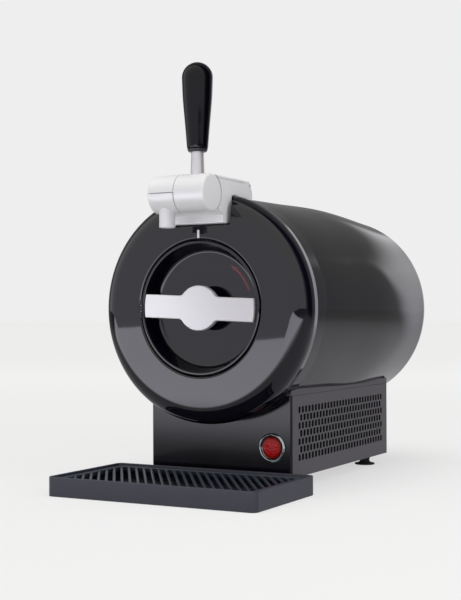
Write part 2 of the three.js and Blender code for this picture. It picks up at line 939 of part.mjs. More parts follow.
const footTop = base.bottom - gap;
const footPlaces = [['front', base.front + foot.front], ['rear', base.rear - foot.rear]];
for (const [side, sx] of [['left', -1], ['right', 1]]) {
  for (const [end, y] of footPlaces) {
    const shape = spun([
      [0, 0],
      [foot.padR, 0],
      [foot.padR, foot.padThick],
      [foot.neckR, foot.padThick],
      [foot.neckR, footTop],
      [0, footTop],
    ], sx * footX, y);
    place(`${end}_${side}_foot`, shape, 'rubber');
  }
}

// Power button: red lens that slides in a chromed ring, with its switch behind
const lensBack = base.front - button.lensProud + button.lensLength;
place('power_button', rod(
  'y', button.lensR, base.front - button.lensProud, lensBack, buttonX, buttonZ, midTurn,
), 'redLens');

const sleeveBack = base.front + button.sleeveLength;
function makeButtonRing() {
  const innerR = button.lensR + runningGap;
  const seat = base.front - gap;
  return turned([
    [innerR, seat - button.ringProud],
    [button.ringR, seat - button.ringProud],
    [button.ringR, seat],
    [button.sleeveR, seat],
    [button.sleeveR, sleeveBack],
    [innerR, sleeveBack],
  ], midTurn);
}
place('button_ring', makeButtonRing(), 'steel', [buttonX, 0, buttonZ]);

const switchFront = sleeveBack + gap;
place('button_switch', block(
  buttonX - button.switchHalf, buttonX + button.switchHalf,
  switchFront, switchFront + button.switchLength,
  buttonZ - button.switchHalf, buttonZ + button.switchHalf,
), 'satinBlack');

// Cooling: cold block under the liner, thermoelectric module, finned sink and fan
const blockBottom = drum.underside - cooler.blockDrop;

function makeColdBlock() {
  const side = cooler.blockHalf;
  const column = block(-side, side, coolerY - side, coolerY + side, blockBottom, axisHeight);
  return cut(column, rod('y', linerOuterR + gap, 0, drum.length, 0, axisHeight, midTurn));
}
place('cold_block', makeColdBlock(), 'aluminium');

const moduleTop = blockBottom - gap;
const sinkTop = moduleTop - cooler.moduleThick - gap;
place('thermoelectric_module', block(
  -cooler.blockHalf, cooler.blockHalf, coolerY - cooler.blockHalf, coolerY + cooler.blockHalf,
  moduleTop - cooler.moduleThick, moduleTop,
), 'whiteCeramic');

function sinkOutline() {
  const plateBottom = sinkTop - cooler.sinkPlate;
  const finBottom = floorTop + cooler.finFloorGap;
  const front = coolerY - cooler.sinkHalfY;
  const pitch = (2 * cooler.sinkHalfY - cooler.finThick) / (cooler.finCount - 1);
  const points = [[front, sinkTop]];
  for (let i = 0; i < cooler.finCount; i += 1) {
    const y = front + i * pitch;
    if (i > 0) points.push([y, plateBottom]);
    points.push([y, finBottom], [y + cooler.finThick, finBottom]);
    if (i < cooler.finCount - 1) points.push([y + cooler.finThick, plateBottom]);
  }
  points.push([coolerY + cooler.sinkHalfY, sinkTop]);
  return points;
}

const fanRight = insideHalf - fan.sideGap;
const fanLeft = fanRight - fan.thick;
const fanHalf = (drum.underside + fan.rise - floorSeat) / 2;
const fanZ = floorSeat + fanHalf;
const fanBoreR = fanHalf - fan.rim;
const sinkHalf = fanLeft - cooler.sinkGap;

place('heat_sink', slab('x', sinkOutline(), -sinkHalf, sinkHalf), 'aluminium');

function makeFanFrame() {
  const box = block(
    fanLeft, fanRight, coolerY - fanHalf, coolerY + fanHalf, fanZ - fanHalf, fanZ + fanHalf,
  );
  const bore = rod('x', fanBoreR, fanLeft - overrun, fanRight + overrun, coolerY, fanZ, midTurn);
  const struts = [];
  for (let i = 0; i < fan.strutCount; i += 1) {
    const bar = new THREE.BoxGeometry(fan.strutThick, fan.strut, fanBoreR + seam);
    bar.translate(0, 0, (fanBoreR + seam) / 2).rotateX((2 * Math.PI * i) / fan.strutCount);
    struts.push(solid(bar.translate(fanLeft + fan.strutThick / 2, coolerY, fanZ)));
  }
  const motor = rod('x', fan.motorR, fanLeft, fanLeft + fan.strutThick, coolerY, fanZ);
  return join(cut(box, bore), motor, ...struts);
}
place('fan_frame', makeFanFrame(), 'satinBlack');

function makeFanRotor() {
  const left = fanLeft + fan.strutThick + runningGap;
  const right = fanRight - fan.strutThick;
  const hub = rod('x', fan.hubR, left, right, 0, 0);
  const blades = [];
  for (let i = 0; i < fan.bladeCount; i += 1) {
    const half = fan.bladeHalfAngle;
    const shape = new THREE.Shape();
    shape.absarc(0, 0, fanBoreR - fan.tipGap, -half, half);
    shape.absarc(0, 0, fan.hubR / 2, half, -half, true);
    const push = { depth: fan.strutThick, bevelEnabled: false, curveSegments: 2 };
    const blade = new THREE.ExtrudeGeometry(shape, push);
    const middle = (left + right) / 2 - fan.strutThick / 2;
    blade.rotateY(Math.PI / 2).rotateX((2 * Math.PI * i) / fan.bladeCount);
    blades.push(solid(blade.translate(middle, 0, 0)));
  }
  return join(hub, ...blades);
}
place('fan_rotor', makeFanRotor(), 'satinBlack', [0, coolerY, fanZ]);

// Air pump, power supply and control board on the base floor
function makePump() {
  const x = pump.sideGap + pump.halfX - insideHalf;
  const y = base.front + pump.back;
  const top = floorSeat + pump.height;
  const body = block(x - pump.halfX, x + pump.halfX, y - pump.halfY, y + pump.halfY, floorSeat, top);
  const head = rod('z', pump.headR, top - seam, top + pump.headHeight, x, y);
  const outletY = y + pump.headR - seam;
  const outletZ = top + pump.headHeight / 2;
  const outlet = rod('y', pump.outletR, outletY, outletY + pump.outletLength, x, outletZ, tinyTurn);
  return join(body, head, outlet);
}
place('air_pump', makePump(), 'steel');

const supplyLeft = supply.sideGap - insideHalf;
const supplyFront = base.front + supply.back;
place('power_supply', block(
  supplyLeft, supplyLeft + supply.width, supplyFront, supplyFront + supply.length,
  floorSeat, saddleBottom - supply.topGap,
), 'steel');

function makeBoard() {
  const bottom = floorTop + board.standoff + gap;
  const top = bottom + board.thick;
  const sheet = block(
    boardX - board.halfX, boardX + board.halfX, boardY - board.halfY, boardY + board.halfY, bottom, top,
  );
  const side = board.relaySide;
  const relay = block(boardX - side, boardX, boardY, boardY + side, bottom, top + board.relayHeight);
  const can = rod('z', board.canR, bottom, top + board.canHeight, boardX + side, boardY, tinyTurn);
  return join(sheet, relay, can);
}
place('control_board', makeBoard(), 'green');

// Tap: body with its cradle and hinge cheeks, lid with the upper left housing, barrel and lever
const barrelCut = rod(
  'x', tap.barrelR + runningGap, -tap.half - overrun, tap.half + overrun, tapY, tapZ, midTurn,
);
const leftEnd = tap.splitX - gap / 2;
const rightStart = tap.splitX + gap / 2;
const lidHingeY = tapRear - tap.lidHingeInset;
const lidAxis = [lidHingeY, tapTop - tap.lidHingeDrop];
const cheekInside = tap.half - tap.cheek;
const channelEnd = beerLine.portY + beerLine.portHalf;
const channel = block(
  spout.x - tap.channelHalf, spout.x + tap.channelHalf,
  spoutY - tap.channelHalf, channelEnd, channelBottom, lidBottom + gap,
);

function tapSide() {
  const notchRear = tap.notchDepth - gap;
  const underside = tapZ - tap.barrelR;
  return [
    [notchRear, footBottom],
    [-tap.footFront, footBottom],
    [-tap.footFront, tapZ - tap.footTopDrop],
    [tapY + tap.cradleBack, tapZ - tap.cradleDrop],
    [tapY, tapZ],
    [tapY, tapTop],
    [tapRear - tap.rearSlope, tapTop],
    [tapRear, tapTop - tap.rearFall],
    [tapRear, underside],
    [notchRear, underside],
  ];
}

// The boundaries of the left housing's upper half, which is part of the lid
const housingBack = tapY + tap.barrelR;
const farFront = tapY - 2 * tap.barrelR;
const farUp = tapTop + overrun;
const farSide = tap.half + overrun;

// The space over the body that the lid's plate takes, leaving the two hinge cheeks
function lidSpace() {
  const band = block(-farSide, farSide, tapY, tapRear + overrun, lidBottom, farUp);
  const cheeks = rod('x', tap.cheekR, -farSide - overrun, farSide + overrun, ...lidAxis, midTurn);
  const between = block(-cheekInside, cheekInside, 0, tapRear + overrun, lidBottom, farUp);
  return join(cut(band, cheeks), between);
}

// The drum's envelope without the tap's foot, which sits inside the bezel's notch
function tapEnvelope() {
  const foot = block(-farSide, farSide, -overrun, tap.notchDepth - gap, footBottom - overrun, farUp);
  return cut(envelope, foot);
}

const rightOfSplit = block(rightStart - gap, farSide, farFront, tapRear, 0, farUp);

function makeTapCasting() {
  const side = slab('x', tapSide(), -tap.half, tap.half);
  const housingSpace = block(
    -farSide, rightStart, farFront, housingBack + runningGap, tapZ - gap / 2, farUp,
  );
  const housing = rod('x', tap.barrelR, -tap.half, leftEnd, tapY, tapZ, midTurn);
  const lowerHousing = cut(housing, housingSpace);
  const shaped = cut(side, barrelCut.intersect(rightOfSplit), housingSpace);
  const hingeRoom = rod('x', tap.sweepR, -cheekInside, cheekInside, ...lidAxis);
  const pinHole = rod('x', tap.lidPinR + gap, -farSide, farSide, ...lidAxis, tinyTurn);
  const socket = rod('z', spout.r + gap, spoutBottom, socketTop, spout.x, spoutY);
  const drop = rod('z', spout.boreR, spoutBottom, farUp, spout.x, spoutY);
  const pivotHole = rod('x', tap.pivotR + gap, tap.splitX - tap.pivotLeft, farSide, tapY, tapZ);
  const linePort = makeLinePort(axisHeight, channelBottom + seam);
  return cut(
    join(shaped, lowerHousing),
    lidSpace(), hingeRoom, pinHole, socket, drop, pivotHole, linePort, channel, tapEnvelope(),
  );
}

// The hinge bracket is parted from the body where the channel ends
const tapCasting = makeTapCasting();
const behindChannel = (from) => block(-farSide, farSide, from, tapRear + overrun, 0, farUp);
place('tap_body', cut(tapCasting, behindChannel(channelEnd)), 'silver');
place('lid_hinge_bracket', tapCasting.intersect(behindChannel(channelEnd + gap)), 'silver');

function makeLid() {
  const seamZ = tapZ + gap / 2;
  const round = rod('x', tap.barrelR, -tap.half, leftEnd, tapY, tapZ, midTurn);
  const behind = block(-tap.half, leftEnd, tapY, housingBack, seamZ, tapTop);
  const housing = join(cut(round, block(-farSide, 0, farFront, farUp, 0, seamZ)), behind);
  const cover = block(-tap.half, tap.half, tapY, lidHingeY, lidBottom + gap, tapTop);
  const besideCheeks = [[-farSide, gap - cheekInside], [cheekInside - gap, farSide]].map(([x0, x1]) => block(
    x0, x1, lidHingeY - tap.cheekR - gap, tapRear, 0, farUp,
  ));
  const plate = cut(cover, barrelCut.intersect(rightOfSplit), ...besideCheeks);
  const knuckle = rod('x', tap.knuckleR, gap - cheekInside, cheekInside - gap, ...lidAxis);
  const pinHole = rod('x', tap.lidPinR + gap, -tap.half, tap.half, ...lidAxis, tinyTurn);
  const drop = rod('z', spout.boreR, spoutBottom, channelBottom + seam, spout.x, spoutY);
  const pivotStart = tap.splitX - tap.pivotLeft - gap;
  const pivotRoom = rod('x', tap.pivotR + runningGap, pivotStart, farSide, tapY, tapZ);
  const channelBelowPlate = cut(channel, block(-farSide, farSide, farFront, tapRear, lidBottom, farUp));
  return cut(join(housing, plate, knuckle), pinHole, drop, pivotRoom, channelBelowPlate);
}
place('tap_lid', makeLid(), 'silver');

place('lid_hinge_pin', rod('x', tap.lidPinR, -tap.half, tap.half, ...lidAxis, tinyTurn), 'steel');

place('spout_nozzle', spun([
  [spout.boreR, spoutBottom],
  [spout.r, spoutBottom],
  [spout.r, socketTop - gap],
  [spout.boreR, socketTop - gap],
], spout.x, spoutY), 'silver');

place('barrel_pivot', rod(
  'x', tap.pivotR, tap.splitX - tap.pivotLeft + gap, tap.splitX + tap.pivotRight, tapY, tapZ,
), 'steel');

const stemSeat = tapZ + lever.seat;
const ferruleBottom = tapZ + lever.neck;
const gripBottom = ferruleBottom + lever.ferruleHeight + gap;
const stemTop = gripBottom + lever.stemInGrip;

function makeBarrel() {
  const body = rod('x', tap.barrelR, rightStart, tap.half, tapY, tapZ, midTurn);
  const pivotEnd = tap.splitX + tap.pivotRight + gap;
  const pivotBore = rod('x', tap.pivotR + gap, rightStart - overrun, pivotEnd, tapY, tapZ);
  const stemBore = rod('z', lever.stemR + gap, stemSeat - gap, tapZ + 2 * tap.barrelR, lever.x, tapY);
  return cut(body, pivotBore, stemBore);
}
place('tap_barrel', makeBarrel(), 'silver');

place('lever_stem', rod('z', lever.stemR, stemSeat, stemTop, lever.x, tapY), 'silver');

place('handle_ferrule', spun([
  [lever.stemR + gap, ferruleBottom],
  [lever.ferruleR, ferruleBottom],
  [lever.gripLowR, gripBottom - gap],
  [lever.stemR + gap, gripBottom - gap],
], lever.x, tapY), 'satinBlack');

function makeGrip() {
  const wideZ = gripBottom + lever.gripLength;
  const round = arc(lever.gripHighR - lever.domeR, wideZ, lever.domeR, 0, Math.PI / 2, 3);
  const body = spun([
    [0, gripBottom],
    [lever.gripLowR, gripBottom],
    [lever.gripHighR, wideZ],
    ...round.slice(1),
    [0, wideZ + lever.domeR + lever.crown],
  ], lever.x, tapY, midTurn);
  return cut(body, rod('z', lever.stemR + gap, 0, stemTop + gap, lever.x, tapY));
}
place('lever_handle', makeGrip(), 'glossBlack');

// Drip tray with its tongue under the base, and the lift-out grille
function makeTray() {
  const outer = slab('z', roundedRectangle(tray.half, trayFront, trayRear, tray.corner), 0, tray.height);
  const nest = (inset, from) => slab('z', roundedRectangle(
    tray.half - inset, trayFront + inset, trayRear - inset, tray.corner - inset,
  ), from, tray.height + overrun);
  const tongueTop = base.bottom - gap;
  const tongueHalf = footX - foot.padR - tray.tongueGap;
  const tongue = block(
    -tongueHalf, tongueHalf, trayRear - tray.wall, trayRear + tray.tongueReach,
    tongueTop - tray.tongueThick, tongueTop,
  );
  const seat = nest(tray.wall, tray.ledgeHeight);
  const well = nest(tray.wall + tray.ledge, tray.floor);
  return join(cut(outer, seat, well), tongue);
}
place('drip_tray', makeTray(), 'slate');

// Parallel slats, turned about the vertical, that cover an opening round the origin
function makeSlats(openHalf, openLength, top) {
  const turn = (grille.slatTurn * Math.PI) / 180;
  const across = 2 * openHalf * Math.cos(turn) + openLength * Math.sin(turn);
  const reach = openHalf + openLength;
  const pitch = across / grille.slatCount;
  const slats = [];
  for (let i = 0; i < grille.slatCount; i += 1) {
    const x = (i + 0.5) * pitch - across / 2 - grille.slatWidth / 2;
    slats.push(block(x, x + grille.slatWidth, -reach, reach, top - grille.slatDepth, top));
  }
  return join(...slats).rotate([0, 0, grille.slatTurn]);
}

function makeGrille() {
  const inset = tray.wall + grille.side;
  const half = tray.half - inset;
  const front = trayFront + inset;
  const rear = trayRear - inset;
  const rimTop = tray.height - grille.sink;
  const bottom = tray.ledgeHeight + gap;
  const rim = slab('z', roundedRectangle(half, front, rear, tray.corner - inset), bottom, rimTop);
  const openHalf = half - grille.border;
  const openFront = front + grille.border;
  const openRear = rear - grille.border;
  const opening = block(-openHalf, openHalf, openFront, openRear, 0, rimTop + overrun);
  const reach = block(-openHalf - seam, openHalf + seam, openFront - seam, openRear + seam, 0, rimTop);
  const slats = makeSlats(openHalf, openRear - openFront, rimTop - grille.slatDrop);
  const placed = slats.translate([0, (openFront + openRear) / 2, 0]);
  return join(cut(rim, opening), placed.intersect(reach));
}
place('drip_grille', makeGrille(), 'slate');

// The origin moves to the middle of the footprint
model.position.y = -(trayFront + drum.length) / 2;

export default model;
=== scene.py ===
"""A mini keg beer dispenser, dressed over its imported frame.

Lengths are in metres. X points right as seen from the front, Y points back and Z points up.
"""

from __future__ import annotations

import logging
import math
from dataclasses import dataclass
from enum import Enum
from typing import Any, Iterable, Sequence

import bmesh
import bpy
from mathutils import Matrix, Vector

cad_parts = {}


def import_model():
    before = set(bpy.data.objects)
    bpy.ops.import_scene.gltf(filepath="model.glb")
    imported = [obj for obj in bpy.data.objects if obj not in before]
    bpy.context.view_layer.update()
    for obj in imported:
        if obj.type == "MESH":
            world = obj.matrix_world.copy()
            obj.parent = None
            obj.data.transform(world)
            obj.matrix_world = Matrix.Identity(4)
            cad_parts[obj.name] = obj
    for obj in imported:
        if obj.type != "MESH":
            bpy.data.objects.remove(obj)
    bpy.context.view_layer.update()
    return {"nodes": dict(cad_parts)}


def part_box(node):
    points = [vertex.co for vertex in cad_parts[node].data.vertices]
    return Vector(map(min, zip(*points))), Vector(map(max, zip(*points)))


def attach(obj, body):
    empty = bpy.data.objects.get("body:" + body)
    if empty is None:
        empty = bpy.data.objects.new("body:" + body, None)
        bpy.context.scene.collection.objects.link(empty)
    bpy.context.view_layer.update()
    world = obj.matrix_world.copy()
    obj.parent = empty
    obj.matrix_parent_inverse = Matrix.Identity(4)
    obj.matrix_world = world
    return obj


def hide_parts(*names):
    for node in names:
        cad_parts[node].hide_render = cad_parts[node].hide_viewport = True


LOG = logging.getLogger("dispenser")

MM = 0.001
GAP = 0.3 * MM
OVERRUN = 5 * MM
HINGE_BORE = 2.6 * MM
KNUCKLE_RADIUS = 2.2 * MM

Point2 = tuple[float, float]
Corner = tuple[float, float, float]
Colour = tuple[float, float, float]


class Axis(Enum):
    """The direction that a turned or pushed shape runs along."""

    X = "x"
    Y = "y"
    Z = "z"


class Cut(Enum):
    """What a second mesh does to the first."""

    REMOVE = "DIFFERENCE"
    KEEP = "INTERSECT"
    ADD = "UNION"


# Outlines


def rounded(corners: Sequence[Corner], steps: int = 6, closed: bool = False) -> list[Point2]:
    """Round the corners of a path.

    Args:
        corners: Points as (u, v, radius); a radius of zero keeps the corner sharp.
        steps: How many pieces each round has.
        closed: Whether the last point joins the first.

    Returns:
        The path with an arc at each rounded corner.
    """
    path: list[Point2] = []
    count = len(corners)
    for i, (u, v, radius) in enumerate(corners):
        at_end = not closed and i in (0, count - 1)
        if at_end or radius <= 0:
            path.append((u, v))
            continue
        here = Vector((u, v))
        before = Vector(corners[i - 1][:2]) - here
        after = Vector(corners[(i + 1) % count][:2]) - here
        half = before.angle(after) / 2
        if half > math.radians(89.5):
            path.append((u, v))
            continue
        reach = min(radius / math.tan(half), 0.499 * before.length, 0.499 * after.length)
        used = reach * math.tan(half)
        centre = here + (before.normalized() + after.normalized()).normalized() * (used / math.sin(half))
        start = here + before.normalized() * reach - centre
        end = here + after.normalized() * reach - centre
        turn = start.angle_signed(end)
        for k in range(steps + 1):
            share = k / steps
            angle = -turn * share
            path.append((
                centre.x + start.x * math.cos(angle) - start.y * math.sin(angle),
                centre.y + start.x * math.sin(angle) + start.y * math.cos(angle),
            ))
    return path


def circle_arc(centre: Point2, radius: float, start: float, end: float, steps: int) -> list[Point2]:
    """Points on an arc, with both ends.

    Args:
        centre: The arc's centre.
        radius: Its radius.
        start: The first angle in radians.
        end: The last angle in radians.
        steps: How many pieces the arc has.

    Returns:
        The points in order.
    """
    angles = (start + (end - start) * k / steps for k in range(steps + 1))
    return [(centre[0] + radius * math.cos(a), centre[1] + radius * math.sin(a)) for a in angles]


def hermite(knots: Sequence[Point2], steps: int) -> list[Point2]:
    """A smooth curve through (along, height) knots.

    Args:
        knots: The points that the curve passes, in rising order.
        steps: How many pieces lie between two knots.

    Returns:
        Points on the curve, ends included.
    """
    slopes = []
    for i in range(len(knots)):
        low = knots[max(i - 1, 0)]
        high = knots[min(i + 1, len(knots) - 1)]
        slopes.append((high[1] - low[1]) / (high[0] - low[0]))
    curve: list[Point2] = []
    for i in range(len(knots) - 1):
        (x0, y0), (x1, y1) = knots[i], knots[i + 1]
        width = x1 - x0
        for k in range(steps):
            t = k / steps
            value = (
                (2 * t**3 - 3 * t**2 + 1) * y0
                + (t**3 - 2 * t**2 + t) * width * slopes[i]
                + (3 * t**2 - 2 * t**3) * y1
                + (t**3 - t**2) * width * slopes[i + 1]
            )
            curve.append((x0 + width * t, value))
    curve.append(knots[-1])
    return curve


# Meshes


def new_object(name: str, mesh: bpy.types.Mesh) -> bpy.types.Object:
    """Put a mesh in the scene under a name.

    Args:
        name: The object's name.
        mesh: The mesh.

    Returns:
        The object.
    """
    made = bpy.data.objects.new(name, mesh)
    bpy.context.scene.collection.objects.link(made)
    return made


def mesh_from(name: str, points: Sequence[Vector], faces: Iterable[Sequence[int]]) -> bpy.types.Object:
    """Build an object from points and faces, merged and facing outwards.

    Args:
        name: The object's name.
        points: Its vertices.
        faces: Its faces, as indices of points.

    Returns:
        The new object.
    """
    mesh = bpy.data.meshes.new(name)
    mesh.from_pydata([tuple(p) for p in points], [], [tuple(f) for f in faces])
    made = new_object(name, mesh)
    tidy(made)
    return made


def tidy(made: bpy.types.Object) -> None:
    """Merge doubles and point the faces outwards.

    Args:
        made: The object.
    """
    shape = bmesh.new()
    shape.from_mesh(made.data)
    bmesh.ops.remove_doubles(shape, verts=shape.verts, dist=0.001 * MM)
    bmesh.ops.recalc_face_normals(shape, faces=shape.faces)
    shape.to_mesh(made.data)
    shape.free()


def place(axis: Axis, along: float, u: float, v: float) -> Vector:
    """A point by its place along an axis and its two other places, in X, Y, Z order.

    Args:
        axis: The axis.
        along: The place along it.
        u: The first other place.
        v: The second other place.

    Returns:
        The point.
    """
    if axis is Axis.X:
        return Vector((along, u, v))
    if axis is Axis.Y:
        return Vector((u, along, v))
    return Vector((u, v, along))


def lathe(
    name: str,
    profile: Sequence[Point2],
    axis: Axis,
    centre: Point2,
    segments: int = 128,
    closed: bool = True,
) -> bpy.types.Object:
    """Turn a profile about an axis.

    Args:
        name: The object's name.
        profile: Points as (radius, along the axis).
        axis: The axis that it turns about.
        centre: Where the axis passes, as the two other coordinates.
        segments: How many facets the round has.
        closed: Whether the profile joins up, as a ring's does.

    Returns:
        The turned solid.
    """
    points: list[Vector] = []
    for radius, along in profile:
        for k in range(segments):
            angle = 2 * math.pi * k / segments
            u = centre[0] + radius * math.cos(angle)
            v = centre[1] + radius * math.sin(angle)
            points.append(place(axis, along, u, v))
    faces: list[tuple[int, ...]] = []
    rows = len(profile) if closed else len(profile) - 1
    for row in range(rows):
        here = row * segments
        there = ((row + 1) % len(profile)) * segments
        if profile[row][0] <= 0 and profile[(row + 1) % len(profile)][0] <= 0:
            continue
        for k in range(segments):
            after = (k + 1) % segments
            faces.append((here + k, here + after, there + after, there + k))
    return mesh_from(name, points, faces)


def rod(
    name: str,
    radius: float,
    ends: Point2,
    axis: Axis,
    centre: Point2,
    segments: int,
) -> bpy.types.Object:
    """A plain round bar.

    Args:
        name: The mesh's name.
        radius: The bar's radius.
        ends: Where it starts and ends along its axis.
        axis: The direction that it runs along.
        centre: Its two other places.
        segments: How many sides it has.

    Returns:
        The bar.
    """
    start, end = ends
    return lathe(name, [(0, start), (radius, start), (radius, end), (0, end)], axis, centre, segments, False)


def knuckle(name: str, hinge: Point2, middle: float, length: float) -> bpy.types.Object:
    """One barrel of the door's hinge.

    Args:
        name: The mesh's name.
        hinge: The pin's place, as (x, y).
        middle: The height of the barrel's middle.
        length: Its length with the gaps at its ends.

    Returns:
        The barrel.
    """
    low = middle - length / 2 + GAP / 2
    high = middle + length / 2 - GAP / 2
    edge = 0.4 * MM
    profile = rounded([(0, low, 0), (KNUCKLE_RADIUS, low, edge), (KNUCKLE_RADIUS, high, edge), (0, high, 0)], 3)
    return lathe(name, profile, Axis.Z, hinge, 32, False)


def middle_of(node: str) -> Corner:
    """The middle of a node's box.

    Args:
        node: The node's name.

    Returns:
        The place, as (x, y, z).
    """
    low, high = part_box(node)
    return ((low.x + high.x) / 2, (low.y + high.y) / 2, (low.z + high.z) / 2)


def prism(name: str, outline: Sequence[Point2], axis: Axis, start: float, end: float) -> bpy.types.Object:
    """Push a flat outline along an axis.

    Args:
        name: The object's name.
        outline: The outline's points, as the two other coordinates.
        axis: The direction of the push.
        start: Where it begins.
        end: Where it ends.

    Returns:
        The closed solid.
    """
    count = len(outline)
    points = [place(axis, along, *p) for along in (start, end) for p in outline]
    faces: list[tuple[int, ...]] = [tuple(range(count)), tuple(range(count, 2 * count))]
    faces += [(k, (k + 1) % count, count + (k + 1) % count, count + k) for k in range(count)]
    return mesh_from(name, points, faces)


def block(name: str, low: Sequence[float], high: Sequence[float]) -> bpy.types.Object:
    """A box between two corners, used as a cutter or before its edges are rounded."""
    outline = [(low[0], low[1]), (high[0], low[1]), (high[0], high[1]), (low[0], high[1])]
    return prism(name, outline, Axis.Z, low[2], high[2])


def rounded_rectangle(half: float, low: float, high: float, radius: float, steps: int = 8) -> list[Point2]:
    """The outline of a rectangle with round corners.

    Args:
        half: Half its width, about zero.
        low: Its lower side.
        high: Its upper side.
        radius: The corners' radius.
        steps: Pieces in each corner.

    Returns:
        The outline's points.
    """
    corners = [(half, high), (-half, high), (-half, low), (half, low)]
    outline: list[Point2] = []
    for i, (u, v) in enumerate(corners):
        centre = (u - math.copysign(radius, u), v - radius if v == high else v + radius)
        outline += circle_arc(centre, radius, i * math.pi / 2, (i + 1) * math.pi / 2, steps)
    return outline


def loft(name: str, loops: Sequence[Sequence[Vector]], closed: bool = False) -> bpy.types.Object:
    """Skin a row of loops that have the same number of points.

    Args:
        name: The object's name.
        loops: The loops, in order.
        closed: Whether the last loop joins the first; otherwise the ends are capped.

    Returns:
        The skinned solid.
    """
    count = len(loops[0])
    points = [p for loop in loops for p in loop]
    faces: list[tuple[int, ...]] = []
    rows = len(loops) if closed else len(loops) - 1
    for row in range(rows):
        here = row * count
        there = ((row + 1) % len(loops)) * count
        faces += [(here + k, here + (k + 1) % count, there + (k + 1) % count, there + k) for k in range(count)]
    if not closed:
        last = (len(loops) - 1) * count
        faces += [tuple(range(count)), tuple(range(last, last + count))]
    return mesh_from(name, points, faces)


def evaluated(made: bpy.types.Object) -> None:
    """Apply all modifiers of an object to its mesh.

    Args:
        made: The object.
    """
    graph = bpy.context.evaluated_depsgraph_get()
    graph.update()
    mesh = bpy.data.meshes.new_from_object(made.evaluated_get(graph))
    made.modifiers.clear()
    old = made.data
    made.data = mesh
    bpy.data.meshes.remove(old)


def combine(target: bpy.types.Object, tool: bpy.types.Object, how: Cut) -> bpy.types.Object:
    """Cut a mesh with another one, or join the two, and remove the tool.

    Args:
        target: The mesh that is kept.
        tool: The mesh that works on it.
        how: What the tool does.

    Returns:
        The target.
    """
    step = target.modifiers.new("combine", "BOOLEAN")
    step.operation = how.value
    step.solver = "EXACT"
    step.object = tool
    evaluated(target)
    bpy.data.objects.remove(tool)
    return target


def absorb(target: bpy.types.Object, *others: bpy.types.Object) -> bpy.types.Object:
    """Add other meshes to one object as further shells.

    Args:
        target: The object that takes them in.
        others: The objects to add; they are removed.

    Returns:
        The target.
    """
    shape = bmesh.new()
    shape.from_mesh(target.data)
    for other in others:
        shape.from_mesh(other.data)
        bpy.data.objects.remove(other)
    shape.to_mesh(target.data)
    shape.free()
    return target


def soften(made: bpy.types.Object, width: float, segments: int = 3, angle: float = 35) -> bpy.types.Object:
    """Round an object's edges in its mesh.

    Args:
        made: The object.
        width: How far the round reaches from the edge.
        segments: Facets across the round.
        angle: The least angle in degrees of an edge that is rounded.

    Returns:
        The same object.
    """
    step = made.modifiers.new("edges", "BEVEL")
    step.width = width
    step.segments = segments
    step.limit_method = "ANGLE"
    step.angle_limit = math.radians(angle)
    step.harden_normals = False
    evaluated(made)
    return made


def shade(made: bpy.types.Object, angle: float = 40) -> bpy.types.Object:
    """Shade an object smoothly, with crisp edges above an angle in degrees and flat faces kept flat.

    Args:
        made: The object.
        angle: The angle that still looks smooth.

    Returns:
        The object.
    """
    made.data.shade_smooth()
    made.data.set_sharp_from_angle(angle=math.radians(angle))
    weigh = made.modifiers.new("normals", "WEIGHTED_NORMAL")
    weigh.keep_sharp = True
    evaluated(made)
    return made


def refined(name: str, node: bpy.types.Object, width: float, segments: int = 2) -> bpy.types.Object:
    """A copy of a frame node with its flats joined up and its edges rounded.

    Args:
        name: The copy's name.
        node: The node's object.
        width: How far the rounds reach.
        segments: Facets across a round.

    Returns:
        The copy.
    """
    made = new_object(name, node.data.copy())
    shape = bmesh.new()
    shape.from_mesh(made.data)
    bmesh.ops.remove_doubles(shape, verts=shape.verts, dist=0.001 * MM)
    bmesh.ops.dissolve_limit(shape, angle_limit=math.radians(0.5), verts=shape.verts, edges=shape.edges)
    shape.to_mesh(made.data)
    shape.free()
    soften(made, width, segments, 30)
    return shade(made, 35)


# Node trees


class Value:
    """A node socket that works in Python expressions."""

    def __init__(self, tree: NodeTree, socket: bpy.types.NodeSocket) -> None:
        """Keep the socket and the tree that it belongs to."""
        self.tree = tree
        self.socket = socket

    def _math(self, operation: str, *others: Any) -> Value:
        """Add a Math node with this value first."""
        return self.tree.math(operation, self, *others)

    def __add__(self, other: Any) -> Value:
        """Self plus other."""
        return self._math("ADD", other)

    __radd__ = __add__

    def __sub__(self, other: Any) -> Value:
        """Self minus other."""
        return self._math("SUBTRACT", other)

    def __rsub__(self, other: Any) -> Value:
        """Other minus self."""
        return self.tree.math("SUBTRACT", other, self)

    def __mul__(self, other: Any) -> Value:
        """Self times other."""
        return self._math("MULTIPLY", other)

    __rmul__ = __mul__

    def __truediv__(self, other: Any) -> Value:
        """Self divided by other."""
        return self._math("DIVIDE", other)

    def __pow__(self, other: Any) -> Value:
        """Self to the power of other."""
        return self._math("POWER", other)

    def above(self, edge: float, width: float) -> Value:
        """A mask that rises from 0 to 1 across an edge.

        Args:
            edge: The middle of the rise.
            width: Its width.

        Returns:
            The mask.
        """
        low = edge - width / 2
        ramp = self.tree.node(
            "ShaderNodeMapRange",
            {"clamp": True, "interpolation_type": "SMOOTHSTEP"},
            {"Value": self, "From Min": low, "From Max": low + width, "To Min": 0.0, "To Max": 1.0},
        )
        return self.tree.value(ramp, "Result")


